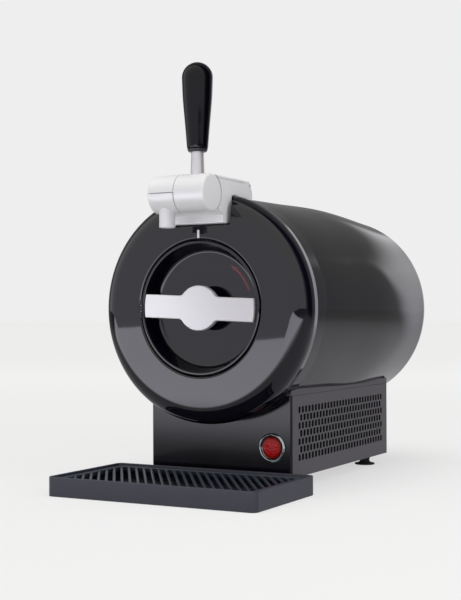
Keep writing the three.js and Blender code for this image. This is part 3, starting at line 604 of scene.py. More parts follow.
class NodeTree:
    """A node tree that is built from Python."""

    def __init__(self, tree: bpy.types.NodeTree) -> None:
        """Start from an empty tree.

        Args:
            tree: Blender's node tree.
        """
        self.tree = tree
        self.nodes = tree.nodes
        self.links = tree.links
        self.nodes.clear()

    def feed(self, socket: bpy.types.NodeSocket, source: Any) -> None:
        """Set a socket to a number, a colour or another socket.

        Args:
            socket: The input.
            source: What it takes.
        """
        if isinstance(source, Value):
            self.links.new(source.socket, socket)
        elif isinstance(source, bpy.types.NodeSocket):
            self.links.new(source, socket)
        else:
            if socket.type == "RGBA" and len(source) == 3:
                source = (*source, 1.0)
            socket.default_value = source

    def node(self, kind: str, settings: dict[str, Any], inputs: dict[Any, Any]) -> bpy.types.Node:
        """Add a node.

        Args:
            kind: The node's type.
            settings: Its properties, set first.
            inputs: Values or links of its sockets, by name or number.

        Returns:
            The node.
        """
        made = self.nodes.new(kind)
        for key, setting in settings.items():
            setattr(made, key, setting)
        for key, source in inputs.items():
            self.feed(made.inputs[key], source)
        return made

    def value(self, node: bpy.types.Node, output: str | int) -> Value:
        """Wrap one output of a node."""
        return Value(self, node.outputs[output])

    def math(self, operation: str, *terms: Any) -> Value:
        """Add a Math node on numbers or values."""
        return self.value(self.node("ShaderNodeMath", {"operation": operation}, dict(enumerate(terms))), "Value")

    def split(self, vector: Value) -> tuple[Value, Value, Value]:
        """The three parts of a vector."""
        parts = self.node("ShaderNodeSeparateXYZ", {}, {"Vector": vector})
        return self.value(parts, "X"), self.value(parts, "Y"), self.value(parts, "Z")

    def vector(self, x: Any, y: Any, z: Any) -> Value:
        """Put three numbers or values together as a vector."""
        return self.value(self.node("ShaderNodeCombineXYZ", {}, {"X": x, "Y": y, "Z": z}), "Vector")

    def facing(self, vector: Value, direction: Sequence[float]) -> Value:
        """How far a vector points along a direction."""
        node = self.node("ShaderNodeVectorMath", {"operation": "DOT_PRODUCT"}, {0: vector, 1: tuple(direction)})
        return self.value(node, "Value")

    def mix(self, share: Any, low: Any, high: Any) -> Value:
        """Blend two colours.

        Args:
            share: The share of the second colour.
            low: The first colour.
            high: The second colour.

        Returns:
            The blend.
        """
        node = self.node("ShaderNodeMix", {"data_type": "RGBA"}, {})
        self.feed(node.inputs[0], share)
        self.feed(node.inputs[6], low)
        self.feed(node.inputs[7], high)
        return Value(self, node.outputs[2])


class ShaderTree(NodeTree):
    """The node tree of one material."""

    def __init__(self, name: str) -> None:
        """Start a material with a Principled shader.

        Args:
            name: The material's name.
        """
        self.material = bpy.data.materials.new(name)
        self.material.use_nodes = True
        super().__init__(self.material.node_tree)
        self.shader = self.nodes.new("ShaderNodeBsdfPrincipled")
        self.output = self.nodes.new("ShaderNodeOutputMaterial")
        self.links.new(self.shader.outputs["BSDF"], self.output.inputs["Surface"])

    def place(self) -> Value:
        """The surface's place in the object's frame."""
        return self.value(self.node("ShaderNodeTexCoord", {}, {}), "Object")

    def noise(self, scale: float, detail: float = 2.0, stretch: Sequence[float] = (1, 1, 1)) -> Value:
        """A noise pattern.

        Args:
            scale: Waves per metre.
            detail: Octaves.
            stretch: How much faster it changes along X, Y and Z.

        Returns:
            The pattern, from 0 to 1.
        """
        moved = self.node("ShaderNodeMapping", {}, {"Vector": self.place(), "Scale": tuple(stretch)})
        wave = self.node(
            "ShaderNodeTexNoise",
            {"noise_dimensions": "3D"},
            {"Vector": moved.outputs["Vector"], "Scale": scale, "Detail": detail, "Roughness": 0.55},
        )
        return Value(self, wave.outputs[0])

    def bump(self, height: Value, depth: float, strength: float = 1.0) -> Value:
        """Turn a height from 0 to 1 into a normal; depth is in metres."""
        node = self.node("ShaderNodeBump", {}, {"Height": height, "Distance": depth, "Strength": strength})
        return self.value(node, "Normal")

    def principled(self, **sockets: Any) -> bpy.types.Material:
        """Set the Principled shader's sockets.

        Args:
            sockets: What each takes, by its name in lower case.

        Returns:
            The material.
        """
        for key, source in sockets.items():
            self.feed(self.shader.inputs[key.replace("_", " ").title().replace("Ior", "IOR")], source)
        return self.material


class ShapeTree(NodeTree):
    """A Geometry Nodes tree with named inputs, used once on a carrier mesh."""

    def __init__(self, name: str) -> None:
        """Start a tree with a geometry input, a geometry output and a material input.

        Args:
            name: The group's name.
        """
        group = bpy.data.node_groups.new(name, "GeometryNodeTree")
        super().__init__(group)
        self.faces = group.interface
        self.settings: dict[str, Any] = {}
        self.faces.new_socket("Geometry", in_out="INPUT", socket_type="NodeSocketGeometry")
        self.faces.new_socket("Geometry", in_out="OUTPUT", socket_type="NodeSocketGeometry")
        self.start = self.nodes.new("NodeGroupInput")
        self.end = self.nodes.new("NodeGroupOutput")

    def number(self, name: str, size: float) -> Value:
        """Add a named length or angle and its setting."""
        return self.named(name, "NodeSocketFloat", float(size))

    def whole(self, name: str, count: int) -> Value:
        """Add a named whole number and its setting."""
        return self.named(name, "NodeSocketInt", count)

    def named(self, name: str, kind: str, setting: Any) -> Value:
        """Add a named input and its setting.

        Args:
            name: The input's name.
            kind: The type of its socket.
            setting: Its value in the modifier.

        Returns:
            The input.
        """
        socket = self.faces.new_socket(name, in_out="INPUT", socket_type=kind)
        self.settings[socket.identifier] = setting
        return Value(self, next(s for s in self.start.outputs if s.identifier == socket.identifier))

    def geometry(self) -> Value:
        """The carrier's own geometry."""
        return self.value(self.start, "Geometry")

    def shape(self, kind: str, settings: dict[str, Any] | None = None, **inputs: Any) -> Value:
        """Add a geometry node and give its first output; inputs are named in lower case with underscores.

        Args:
            kind: The node's type, without its common start.
            settings: Its plain settings.
            inputs: Its inputs.

        Returns:
            The first output.
        """
        node = self.node("GeometryNode" + kind, settings or {}, {})
        sockets = {s.name.lower().replace(" ", "_"): s for s in reversed(node.inputs) if s.enabled}
        for key, source in inputs.items():
            self.feed(sockets[key], source)
        return self.value(node, 0)

    def joined(self, *shapes: Value) -> Value:
        """Join several geometries.

        Args:
            shapes: The geometries.

        Returns:
            All of them as one.
        """
        node = self.nodes.new("GeometryNodeJoinGeometry")
        for made in shapes:
            self.links.new(made.socket, node.inputs[0])
        return self.value(node, 0)

    def grow(
        self, name: str, result: Value, material: bpy.types.Material, points: Sequence[Vector],
    ) -> bpy.types.Object:
        """Run the tree on a carrier mesh of loose points, and keep the result as a plain mesh.

        Args:
            name: The object's name.
            result: The geometry that the tree gives.
            material: The finish that it sets.
            points: The carrier's points.

        Returns:
            The object, merged and facing outwards.
        """
        finish = self.named("Finish", "NodeSocketMaterial", material)
        real = self.shape("RealizeInstances", geometry=result)
        done = self.shape("SetMaterial", geometry=real, material=finish)
        self.links.new(done.socket, self.end.inputs[0])
        mesh = bpy.data.meshes.new(name)
        mesh.from_pydata([tuple(p) for p in points], [], [])
        made = new_object(name, mesh)
        step = made.modifiers.new("grow", "NODES")
        step.node_group = self.tree
        for identifier, setting in self.settings.items():
            step[identifier] = setting
        evaluated(made)
        tidy(made)
        return made


# Finishes


@dataclass(frozen=True)
class GlossPlastic:
    """Polished moulded plastic with faint smears."""

    name: str
    colour: Colour
    roughness: float = 0.02
    smear: float = 0.02
    ior: float = 1.45

    def material(self) -> bpy.types.Material:
        """Build the material.

        Returns:
            The finished material.
        """
        tree = ShaderTree(self.name)
        smears = tree.noise(18.0, 4.0, (1.0, 0.5, 2.0))
        wave = tree.noise(60.0, 1.0)
        return tree.principled(
            base_color=tree.mix(smears, self.colour, tuple(1.25 * c for c in self.colour)),
            roughness=self.roughness + smears * self.smear,
            normal=tree.bump(wave, 0.01 * MM, 0.2),
            ior=self.ior,
        )


@dataclass(frozen=True)
class GrainedPlastic:
    """Satin moulded plastic with a fine grain."""

    name: str
    colour: Colour
    roughness: float = 0.4
    grain: float = 1800.0
    depth: float = 0.03 * MM

    def material(self) -> bpy.types.Material:
        """Build the material.

        Returns:
            The finished material.
        """
        tree = ShaderTree(self.name)
        grain = tree.noise(self.grain, 3.0)
        patches = tree.noise(25.0, 3.0)
        return tree.principled(
            base_color=tree.mix(patches, self.colour, tuple(1.35 * c for c in self.colour)),
            roughness=self.roughness + patches * 0.1 + grain * 0.05,
            normal=tree.bump(grain, self.depth, 0.5),
        )


@dataclass(frozen=True)
class PaintedSheet:
    """Painted sheet with a fine grain; its cut edges and its inner side take a near-black painted shade, for the shade
    in the slots and behind the sheet.
    """

    name: str
    colour: Colour
    slot_shade_colour: Colour
    skin: float
    roughness: float = 0.45

    def material(self) -> bpy.types.Material:
        """Build the material.

        Returns:
            The finished material.
        """
        tree = ShaderTree(self.name)
        grain = tree.noise(900.0, 3.0)
        patches = tree.noise(20.0, 3.0)
        x, _, _ = tree.split(tree.place())
        # Painted shade: faces inside the outer skin, the slot walls and the inner side, get the near-black colour and
        # more roughness.
        outside = tree.math("ABSOLUTE", x).above(self.skin, 0.1 * MM)
        paint = tree.mix(patches, self.colour, tuple(1.25 * c for c in self.colour))
        return tree.principled(
            base_color=tree.mix(outside, self.slot_shade_colour, paint),
            roughness=self.roughness + patches * 0.08 + (1.0 - outside) * 0.45,
            normal=tree.bump(grain, 0.05 * MM, 0.4),
        )


@dataclass(frozen=True)
class SatinMetal:
    """Metal, or metallic paint, with a fine satin texture."""

    name: str
    colour: Colour
    roughness: float = 0.3
    metallic: float = 0.8
    stretch: tuple[float, float, float] = (1, 1, 1)
    depth: float = 0.01 * MM

    def material(self) -> bpy.types.Material:
        """Build the material.

        Returns:
            The finished material.
        """
        tree = ShaderTree(self.name)
        flakes = tree.noise(2600.0, 2.0, self.stretch)
        patches = tree.noise(30.0, 3.0)
        return tree.principled(
            base_color=tree.mix(flakes, tuple(0.93 * c for c in self.colour), self.colour),
            roughness=self.roughness - 0.04 + patches * 0.08 + flakes * 0.04,
            metallic=self.metallic,
            normal=tree.bump(flakes, self.depth, 0.4),
        )


@dataclass(frozen=True)
class BrushedBar:
    """Brushed metal, with fine lines along X and painted shade: a darker tone towards one end, in place of a reflection
    that fades along the bar.
    """

    name: str
    colour: Colour
    shaded_end_colour: Colour
    reach: float
    roughness: float = 0.32
    metallic: float = 0.2

    def material(self) -> bpy.types.Material:
        """Build the material.

        Returns:
            The finished material.
        """
        tree = ShaderTree(self.name)
        lines = tree.noise(1500.0, 3.0, (0.03, 1, 1))
        x, _, _ = tree.split(tree.place())
        # Painted shade: the colour darkens along X towards the bar's right end.
        along = (x / self.reach + 1.0) * 0.5 + (lines - 0.5) * 0.12
        return tree.principled(
            base_color=tree.mix(along.above(0.55, 0.9), self.colour, self.shaded_end_colour),
            roughness=self.roughness - 0.05 + lines * 0.1,
            metallic=self.metallic,
            normal=tree.bump(lines, 0.012 * MM, 0.4),
        )


@dataclass(frozen=True)
class LitLens:
    """A red lens that glows towards its middle."""

    name: str
    colour: Colour
    centre: Sequence[float]
    radius: float

    def material(self) -> bpy.types.Material:
        """Build the material.

        Returns:
            The finished material.
        """
        tree = ShaderTree(self.name)
        offset = tree.node("ShaderNodeVectorMath", {"operation": "SUBTRACT"}, {0: tree.place(), 1: tuple(self.centre)})
        x, _, z = tree.split(Value(tree, offset.outputs[0]))
        distance = (x * x + z * z) ** 0.5 / self.radius
        rim = distance.above(0.78, 0.3)
        cells = tree.node("ShaderNodeTexVoronoi", {}, {"Vector": tree.place(), "Scale": 330.0})
        facets = tree.value(cells, "Distance")
        colour = tree.mix(rim, self.colour, tuple(0.4 * c for c in self.colour))
        return tree.principled(
            base_color=colour,
            roughness=0.22 + facets * 0.08,
            normal=tree.bump(facets, 0.9 * MM, 0.6),
            emission_color=colour,
            emission_strength=0.3,
            specular_ior_level=0.25,
        )


@dataclass(frozen=True)
class Foam:
    """Rigid foam with fine cells."""

    name: str
    colour: Colour

    def material(self) -> bpy.types.Material:
        """Build the material.

        Returns:
            The finished material.
        """
        tree = ShaderTree(self.name)
        cells = tree.node("ShaderNodeTexVoronoi", {}, {"Vector": tree.place(), "Scale": 700.0})
        distance = Value(tree, cells.outputs["Distance"])
        return tree.principled(
            base_color=tree.mix(distance, self.colour, tuple(0.8 * c for c in self.colour)),
            roughness=0.95,
            normal=tree.bump(distance, 0.15 * MM, 0.6),
        )


# The frame's own places


@dataclass(frozen=True)
class Datum:
    """Places that the whole object is set out from, taken from the frame."""

    face: float
    height: float

    @classmethod
    def from_frame(cls, length: float) -> Datum:
        """Read them from the drum and the door seal.

        Args:
            length: From the bezel's face to the flat of the drum's tail.

        Returns:
            The places.
        """
        return cls(face=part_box("drum_shell")[1].y - length, height=middle_of("door_seal")[2])

    def along(self, profile: Iterable[Point2]) -> list[Point2]:
        """Move a profile of (radius, depth behind the face) to its place along Y.

        Args:
            profile: The points.

        Returns:
            The moved points.
        """
        return [(radius, self.face + depth) for radius, depth in profile]

    @property
    def centre(self) -> Point2:
        """The common axis, as (x, z)."""
        return (0.0, self.height)


@dataclass
class SubAssembly:
    """A group of pieces that is built and dressed together."""

    datum: Datum
    finishes: dict[str, bpy.types.Material]

    def dress(
        self,
        made: bpy.types.Object,
        body: str,
        finish: str,
        slot: str,
        replaces: Sequence[str] = (),
    ) -> bpy.types.Object:
        """Give a piece its finish and its body, and hide the nodes that it stands for.

        Args:
            made: The piece.
            body: The body that it rides on.
            finish: The name of its finish.
            slot: The record's material slot; not used.
            replaces: The nodes that it stands for.

        Returns:
            The piece.
        """
        made.data.materials.clear()
        made.data.materials.append(self.finishes[finish])
        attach(made, body)
        if replaces:
            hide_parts(*replaces)
        LOG.info("piece %s on %s", made.name, body)
        return made


# Drum, bezel and what lies behind them


@dataclass
class Housing(SubAssembly):
    """The bezel, the drum shell and the chamber's mouth."""

    mouth: float = 70.6 * MM
    lip: float = 2.4 * MM
    outer: float = 120.6 * MM
    edge: float = 19 * MM
    face_drop: float = 0.8 * MM
    collar_start: float = 23 * MM
    collar_end: float = 33 * MM
    collar_radius: float = 119.2 * MM
    skirt: float = 118.8 * MM
    bezel_depth: float = 55 * MM
    wall: float = 3 * MM
    throat: float = 24.5 * MM
    drum_knots: tuple[Point2, ...] = (
        (55.3 * MM, 118.3 * MM),
        (141.4 * MM, 119.4 * MM),
        (241.7 * MM, 120.7 * MM),
        (366 * MM, 113.8 * MM),
    )
    tail_round: float = 25 * MM
    length: float = 391 * MM
    notch_side: float = 4.5 * MM
    notch_below: float = 2 * MM
    notch_depth: float = 12.4 * MM
    notch_round: float = 2.5 * MM

    def bezel_profile(self) -> list[Point2]:
        """The bezel's section, from the throat over the face to the seam and back inside.

        Returns:
            Points of (radius, depth behind the face).
        """
        side = self.face_drop + self.edge
        centre = (self.outer - self.edge, side)
        face = circle_arc(centre, self.edge, -math.pi / 2, 0, 24)
        inner = circle_arc(centre, self.edge - self.wall, 0, -math.pi / 2, 12)
        return [
            (self.mouth, self.throat),
            *circle_arc((self.mouth + self.lip, self.lip), self.lip, math.pi, 1.5 * math.pi, 10),
            *face,
            *rounded([
                (self.outer, side, 0),
                (self.outer, self.collar_start, 1.2 * MM),
                (self.collar_radius, self.collar_end, 0.8 * MM),
                (self.skirt, self.bezel_depth - 0.5 * MM, 0.4 * MM),
                (self.skirt - 0.6 * MM, self.bezel_depth, 0),
            ], 4)[1:],
            (self.skirt - self.wall, self.bezel_depth),
            (self.outer - self.wall, side),
            *inner,
            (self.mouth + self.wall, self.face_drop + self.wall),
            (self.mouth + self.wall, self.throat),
        ]

    def drum_profile(self) -> list[Point2]:
        """The drum shell's section, from the tail's middle round to the seam and back inside.

        Returns:
            Points of (radius, depth behind the face).
        """
        side = [(r, y) for y, r in hermite(self.drum_knots, 12)]
        tail_y, tail_r = self.drum_knots[-1]
        tail = circle_arc((tail_r - self.tail_round, tail_y), self.tail_round, 0, math.pi / 2, 20)
        outside = [(side[0][0] - 0.5 * MM, side[0][1]), (side[0][0], side[0][1] + 0.5 * MM)]
        outside += side[1:-1] + tail + [(0.0, self.length)]
        inside = [(max(r - self.wall, 0.0), min(y, self.length - self.wall)) for r, y in reversed(side + tail)]
        return [*outside, (0.0, self.length - self.wall), *inside]

    def build(self) -> None:
        """Build the pieces."""
        self.build_bezel()
        self.build_drum()
        self.build_mouth()

    def build_bezel(self) -> None:
        """The front bezel with the tap's notch and the hinge pocket."""
        centre = self.datum.centre
        made = lathe("bezel", self.datum.along(self.bezel_profile()), Axis.Y, centre, 256)
        body_low, body_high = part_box("tap_body")
        half = body_high.x + self.notch_side
        bottom = body_low.z - self.notch_below
        low = (-half, self.datum.face - OVERRUN, bottom)
        back = self.datum.face + self.notch_depth
        notch = block("notch", low, (half, back, self.datum.height + self.outer + OVERRUN))
        soften(notch, self.notch_round, 4)
        combine(made, notch, Cut.REMOVE)
        lining = self.notch_lining(half, bottom, back)
        hinge_low, hinge_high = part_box("door_hinge_pin")
        x, y, middle = middle_of("door_hinge_pin")
        hinge = (x, y)
        length = (hinge_high.z - hinge_low.z) / 3
        ends = (middle - length / 2 - GAP, middle + length / 2 + GAP)
        pocket = rod("pocket", HINGE_BORE, ends, Axis.Z, hinge, 32)
        combine(made, pocket, Cut.REMOVE)
        knuckles = [
            knuckle(f"knuckle_{sign}", hinge, middle + sign * length, length) for sign in (-1, 1)
        ]
        absorb(made, lining, *knuckles)
        shade(made, 30)
        self.dress(made, "machine", "gloss_black", "gloss_black", ["front_bezel"])

    def notch_lining(self, half: float, bottom: float, back: float) -> bpy.types.Object:
        """The walls of the notch behind the face.

        Args:
            half: Half the notch's width.
            bottom: Its floor's height.
            back: Its rear wall's place along Y.

        Returns:
            The walls, cut to the bezel's outside.
        """
        top = self.datum.height + self.outer
        front = self.datum.face + self.face_drop + self.wall
        low, high = (-half - self.wall, front, bottom - self.wall), (half + self.wall, back + self.wall, top)
        lining = block("lining", low, high)
        hollow = block("hollow", (-half, front - OVERRUN, bottom), (half, back, top + OVERRUN))
        combine(lining, hollow, Cut.REMOVE)
        side = self.face_drop + self.edge
        face = circle_arc((self.outer - self.edge, side), self.edge - 0.4 * MM, -math.pi / 2, 0, 16)
        envelope = [(0.0, self.face_drop), *face, (self.outer - 0.4 * MM, 2 * side), (0.0, 2 * side)]
        limit = lathe("limit", self.datum.along(envelope), Axis.Y, self.datum.centre, 128, False)
        return combine(lining, limit, Cut.KEEP)

    def build_drum(self) -> None:
        """The drum shell, turned from its section by geometry nodes."""
        section = self.datum.along(self.drum_profile())
        tree = ShapeTree("turned_shell")
        rows = tree.whole("Section Points", len(section))
        columns = tree.whole("Segments", 257)
        height = tree.number("Axis Height", self.datum.height)
        grid = tree.shape("MeshGrid", vertices_x=rows, vertices_y=columns)
        index = tree.shape("InputIndex")
        row = tree.math("FLOOR", (index + 0.5) / columns)
        angle = (index - row * columns) / (columns - 1.0) * (2 * math.pi)
        picked = tree.node(
            "GeometryNodeSampleIndex",
            {"data_type": "FLOAT_VECTOR"},
            {"Geometry": tree.geometry(), "Value": tree.shape("InputPosition"), "Index": row},
        )
        radius, along, _ = tree.split(tree.value(picked, "Value"))
        turned = tree.vector(radius * tree.math("COSINE", angle), along, height + radius * tree.math("SINE", angle))
        shell = tree.shape("SetPosition", geometry=grid, position=turned)
        points = [Vector((radius, along, 0)) for radius, along in section]
        made = tree.grow("drum", shell, self.finishes["drum_black"], points)
        low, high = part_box("cold_block")
        port = block("port", (low.x - GAP, low.y - GAP, 0), (high.x + GAP, high.y + GAP, self.datum.height))
        combine(made, port, Cut.REMOVE)
        shade(made, 30)
        self.dress(made, "machine", "drum_black", "gloss_black", ["drum_shell"])

    def build_mouth(self) -> None:
        """The lock ring and the liner that show when the door is open."""
        ring_low, ring_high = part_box("mouth_ring")
        liner_low, liner_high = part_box("chamber_liner")
        liner_r = (liner_high.x - liner_low.x) / 2
        thin = 1.5 * MM
        edge = 0.3 * MM
        profile = rounded([
            (0, liner_high.y - thin, 0),
            (liner_r - thin, liner_high.y - thin, 3 * MM),
            (liner_r - thin, liner_low.y, edge),
            (liner_r, liner_low.y, edge),
            (liner_r, liner_high.y, 4 * MM),
            (0, liner_high.y, 0),
        ], 5)
        liner = shade(lathe("keg_liner", profile, Axis.Y, self.datum.centre, 128, False), 30)
        self.dress(liner, "machine", "aluminium", "aluminium", ["chamber_liner"])
        ring_r = (ring_high.x - ring_low.x) / 2
        hole = liner_r - thin
        section = rounded([
            (hole, ring_low.y, edge), (ring_r, ring_low.y, edge),
            (ring_r, ring_high.y, edge), (hole, ring_high.y, edge),
        ], 3, True)
        ring = lathe("lock_ring", section, Axis.Y, self.datum.centre, 128)
        lug_r = 60 * MM
        lug_half = 7 * MM
        for sign in (-1, 1):
            angle = math.asin(lug_half / lug_r)
            turn = sign * math.pi / 2
            outer = circle_arc(self.datum.centre, hole + 0.2 * MM, turn - angle, turn + angle, 12)
            inner = circle_arc(self.datum.centre, lug_r, turn + angle, turn - angle, 12)
            lug = prism("lug", outer + inner, Axis.Y, ring_low.y, ring_high.y)
            absorb(ring, soften(lug, edge, 2))
        shade(ring, 30)
        self.dress(ring, "machine", "satin_black", "satin_black", ["mouth_ring"])


# Door and its lock


@dataclass
class Door(SubAssembly):
    """The dished door, its seal and plug, and the lock that turns in it."""

    radius: float = 69.9 * MM
    edge_round: float = 1.6 * MM
    lip_width: float = 1.6 * MM
    floor_radius: float = 61 * MM
    floor_fillet: float = 4.5 * MM
    floor_depth: float = 18.2 * MM
    wall: float = 3 * MM
    rim_depth: float = 7 * MM
    rear_radius: float = 68 * MM
    bar_reach: float = 64.5 * MM
    bar_half: float = 12.2 * MM
    bulge: float = 23.3 * MM
    fillet: float = 6 * MM
    proud: float = 2 * MM
    bar_thick: float = 7 * MM
    bar_edge: float = 1.1 * MM
    bar_tilt: float = 2.4
    arrow_radius: float = 52 * MM
    arrow_width: float = 2.1 * MM
    arrow_start: float = 20.0
    arrow_end: float = 50.0
    arrow_tip: float = 58.0
    mark_centre: float = -0.4 * MM
    mark_half: float = 1.3 * MM
    mark_low: float = 72.0 * MM
    mark_high: float = 80.4 * MM
    print_lift: float = 0.06 * MM
    shaft_radius: float = 5 * MM
    shaft_bore: float = 5.3 * MM

    def build(self) -> None:
        """Build the pieces."""
        self.build_cup()
        self.build_seal()
        self.build_lock()
        self.build_prints()

    def build_cup(self) -> None:
        """The dished door with its knuckle."""
        rear = self.floor_depth + self.wall
        low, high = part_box("door_hinge_pin")
        x, y, middle = middle_of("door_hinge_pin")
        hinge = (x, y)
        length = (high.z - low.z) / 3
        profile = rounded([
            (0, self.floor_depth, 0),
            (self.floor_radius, self.floor_depth, self.floor_fillet),
            (self.radius - self.edge_round - self.lip_width, 0, 0.7 * MM),
            (self.radius, 0, self.edge_round),
            (self.radius, self.rim_depth, 0),
            (self.rear_radius, rear, 1 * MM),
            (0, rear, 0),
        ], 8)
        made = lathe("door", self.datum.along(profile), Axis.Y, self.datum.centre, 192, False)
        for sign in (-1, 1):
            bottom = middle + sign * length - length / 2 - GAP
            pocket = rod("pocket", HINGE_BORE, (bottom, bottom + length + 2 * GAP), Axis.Z, hinge, 32)
            combine(made, pocket, Cut.REMOVE)
        absorb(made, knuckle("barrel", hinge, middle, length))
        shade(made, 30)
        self.dress(made, "door", "gloss_black", "gloss_black", ["door_cup"])

    def build_seal(self) -> None:
        """The rubber seal and the insulated plug."""
        low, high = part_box("door_seal")
        outer = (high.x - low.x) / 2
        inner = outer - 7 * MM
        middle = (outer + inner) / 2
        edge = 0.8 * MM
        section = rounded([
            (inner, low.y, edge), (outer, low.y, edge),
            (outer, high.y - 0.8 * MM, edge), (middle + 1 * MM, high.y, edge),
            (middle, high.y - 0.9 * MM, edge), (middle - 1 * MM, high.y, edge), (inner, high.y - 0.8 * MM, edge),
        ], 4, True)
        seal = shade(lathe("seal", section, Axis.Y, self.datum.centre, 128), 40)
        self.dress(seal, "door", "rubber", "rubber", ["door_seal"])
        low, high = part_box("door_plug")
        plug_r = (high.x - low.x) / 2
        bore = self.shaft_bore
        section = rounded([
            (bore, low.y, edge), (plug_r, low.y, edge), (plug_r, high.y, 1.5 * MM), (bore, high.y, edge),
        ], 5, True)
        plug = shade(lathe("plug", section, Axis.Y, self.datum.centre, 128), 40)
        self.dress(plug, "door", "foam", "foam", ["door_plug"])

    def bar_outline(self) -> list[Point2]:
        """The handle bar's outline: a straight bar with a round bulge and curved ends.

        Returns:
            Points of (x, z).
        """
        reach, half, bulge, fillet = self.bar_reach, self.bar_half, self.bulge, self.fillet
        end = math.asin(half / reach)
        fillet_x = math.sqrt((bulge + fillet) ** 2 - (half + fillet) ** 2)
        swell = math.atan2(half + fillet, fillet_x)
        quarter = [
            *circle_arc((0, 0), reach, 0, end, 6),
            *circle_arc((fillet_x, half + fillet), fillet, 1.5 * math.pi, math.pi + swell, 10),
            *circle_arc((0, 0), bulge, swell, math.pi / 2, 20),
        ]
        top = quarter + [(-u, v) for u, v in reversed(quarter[:-1])]
        lower = [(-u, -v) for u, v in top[1:-1]]
        cos, sin = math.cos(math.radians(self.bar_tilt)), math.sin(math.radians(self.bar_tilt))
        return [(u * cos + v * sin, self.datum.height - u * sin + v * cos) for u, v in top + lower]

    def build_lock(self) -> None:
        """The handle bar, its hub and shaft, and the latch arm."""
        front = self.datum.face - self.proud
        bar = prism("bar", self.bar_outline(), Axis.Y, front, front + self.bar_thick)
        soften(bar, self.bar_edge, 4, 60)
        shade(bar, 30)
        self.dress(bar, "lock_handle", "bar_silver", "silver", ["handle_bar"])
        low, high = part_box("lock_spindle")
        hub_r = (high.x - low.x) / 2
        hub_rear = self.datum.face + self.floor_depth - 0.4 * MM
        edge = 0.8 * MM
        profile = rounded([
            (0, low.y, 0), (hub_r, low.y, edge), (hub_r, hub_rear, edge), (self.shaft_radius, hub_rear, edge),
            (self.shaft_radius, high.y, 0.5 * MM), (0, high.y, 0),
        ], 5)
        hub = shade(lathe("hub", profile, Axis.Y, self.datum.centre, 96, False), 40)
        self.dress(hub, "lock_handle", "satin_black", "satin_black", ["lock_spindle"])
        self.build_latch()

    def build_latch(self) -> None:
        """The latch arm, with round ends and a rolled edge."""
        low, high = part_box("latch_arm")
        reach = (high.x - low.x) / 2
        half = (high.z - low.z) / 2
        end = math.asin(half / reach)
        right = circle_arc((0, self.datum.height), reach, -end, end, 8)
        left = circle_arc((0, self.datum.height), reach, math.pi - end, math.pi + end, 8)
        arm = prism("latch", right + left, Axis.Y, low.y, high.y)
        ends = (low.y - OVERRUN, high.y + OVERRUN)
        hole = rod("hole", self.shaft_bore, ends, Axis.Y, self.datum.centre, 48)
        soften(arm, 0.5 * MM, 3, 60)
        combine(arm, hole, Cut.REMOVE)
        shade(arm, 30)
        self.dress(arm, "lock_handle", "steel", "steel", ["latch_arm"])

    def build_prints(self) -> None:
        """The red turning arrow in the dish and the white index mark over the mouth."""
        lift = self.datum.face + self.floor_depth - self.print_lift
        centre = self.datum.centre
        half = self.arrow_width / 2
        start, end = math.radians(self.arrow_start), math.radians(self.arrow_end)
        tip = math.radians(self.arrow_tip)
        outer = circle_arc(centre, self.arrow_radius + half, start, end, 24)
        inner = circle_arc(centre, self.arrow_radius - half, end, start, 24)
        wing = 2.2 * half
        head = [
            circle_arc(centre, self.arrow_radius + wing, end, end, 1)[0],
            circle_arc(centre, self.arrow_radius, tip, tip, 1)[0],
            circle_arc(centre, self.arrow_radius - wing, end, end, 1)[0],
        ]
        arrow = prism("turn_arrow", outer + head + inner, Axis.Y, lift, lift + 0.8 * self.print_lift)
        self.dress(arrow, "door", "red_print", "red_lens")
        height = self.datum.height
        mark_face = self.datum.face + 0.02 * MM
        left, right = self.mark_centre - self.mark_half, self.mark_centre + self.mark_half
        outline = rounded([
            (left, height + self.mark_low, 0.4 * MM), (right, height + self.mark_low, 0.4 * MM),
            (right, height + self.mark_high, 0.4 * MM), (left, height + self.mark_high, 0.4 * MM),
        ], 3, True)
        mark = prism("index_mark", outline, Axis.Y, mark_face - self.print_lift, mark_face)
        self.dress(mark, "machine", "white_print", "ceramic")


# Tap


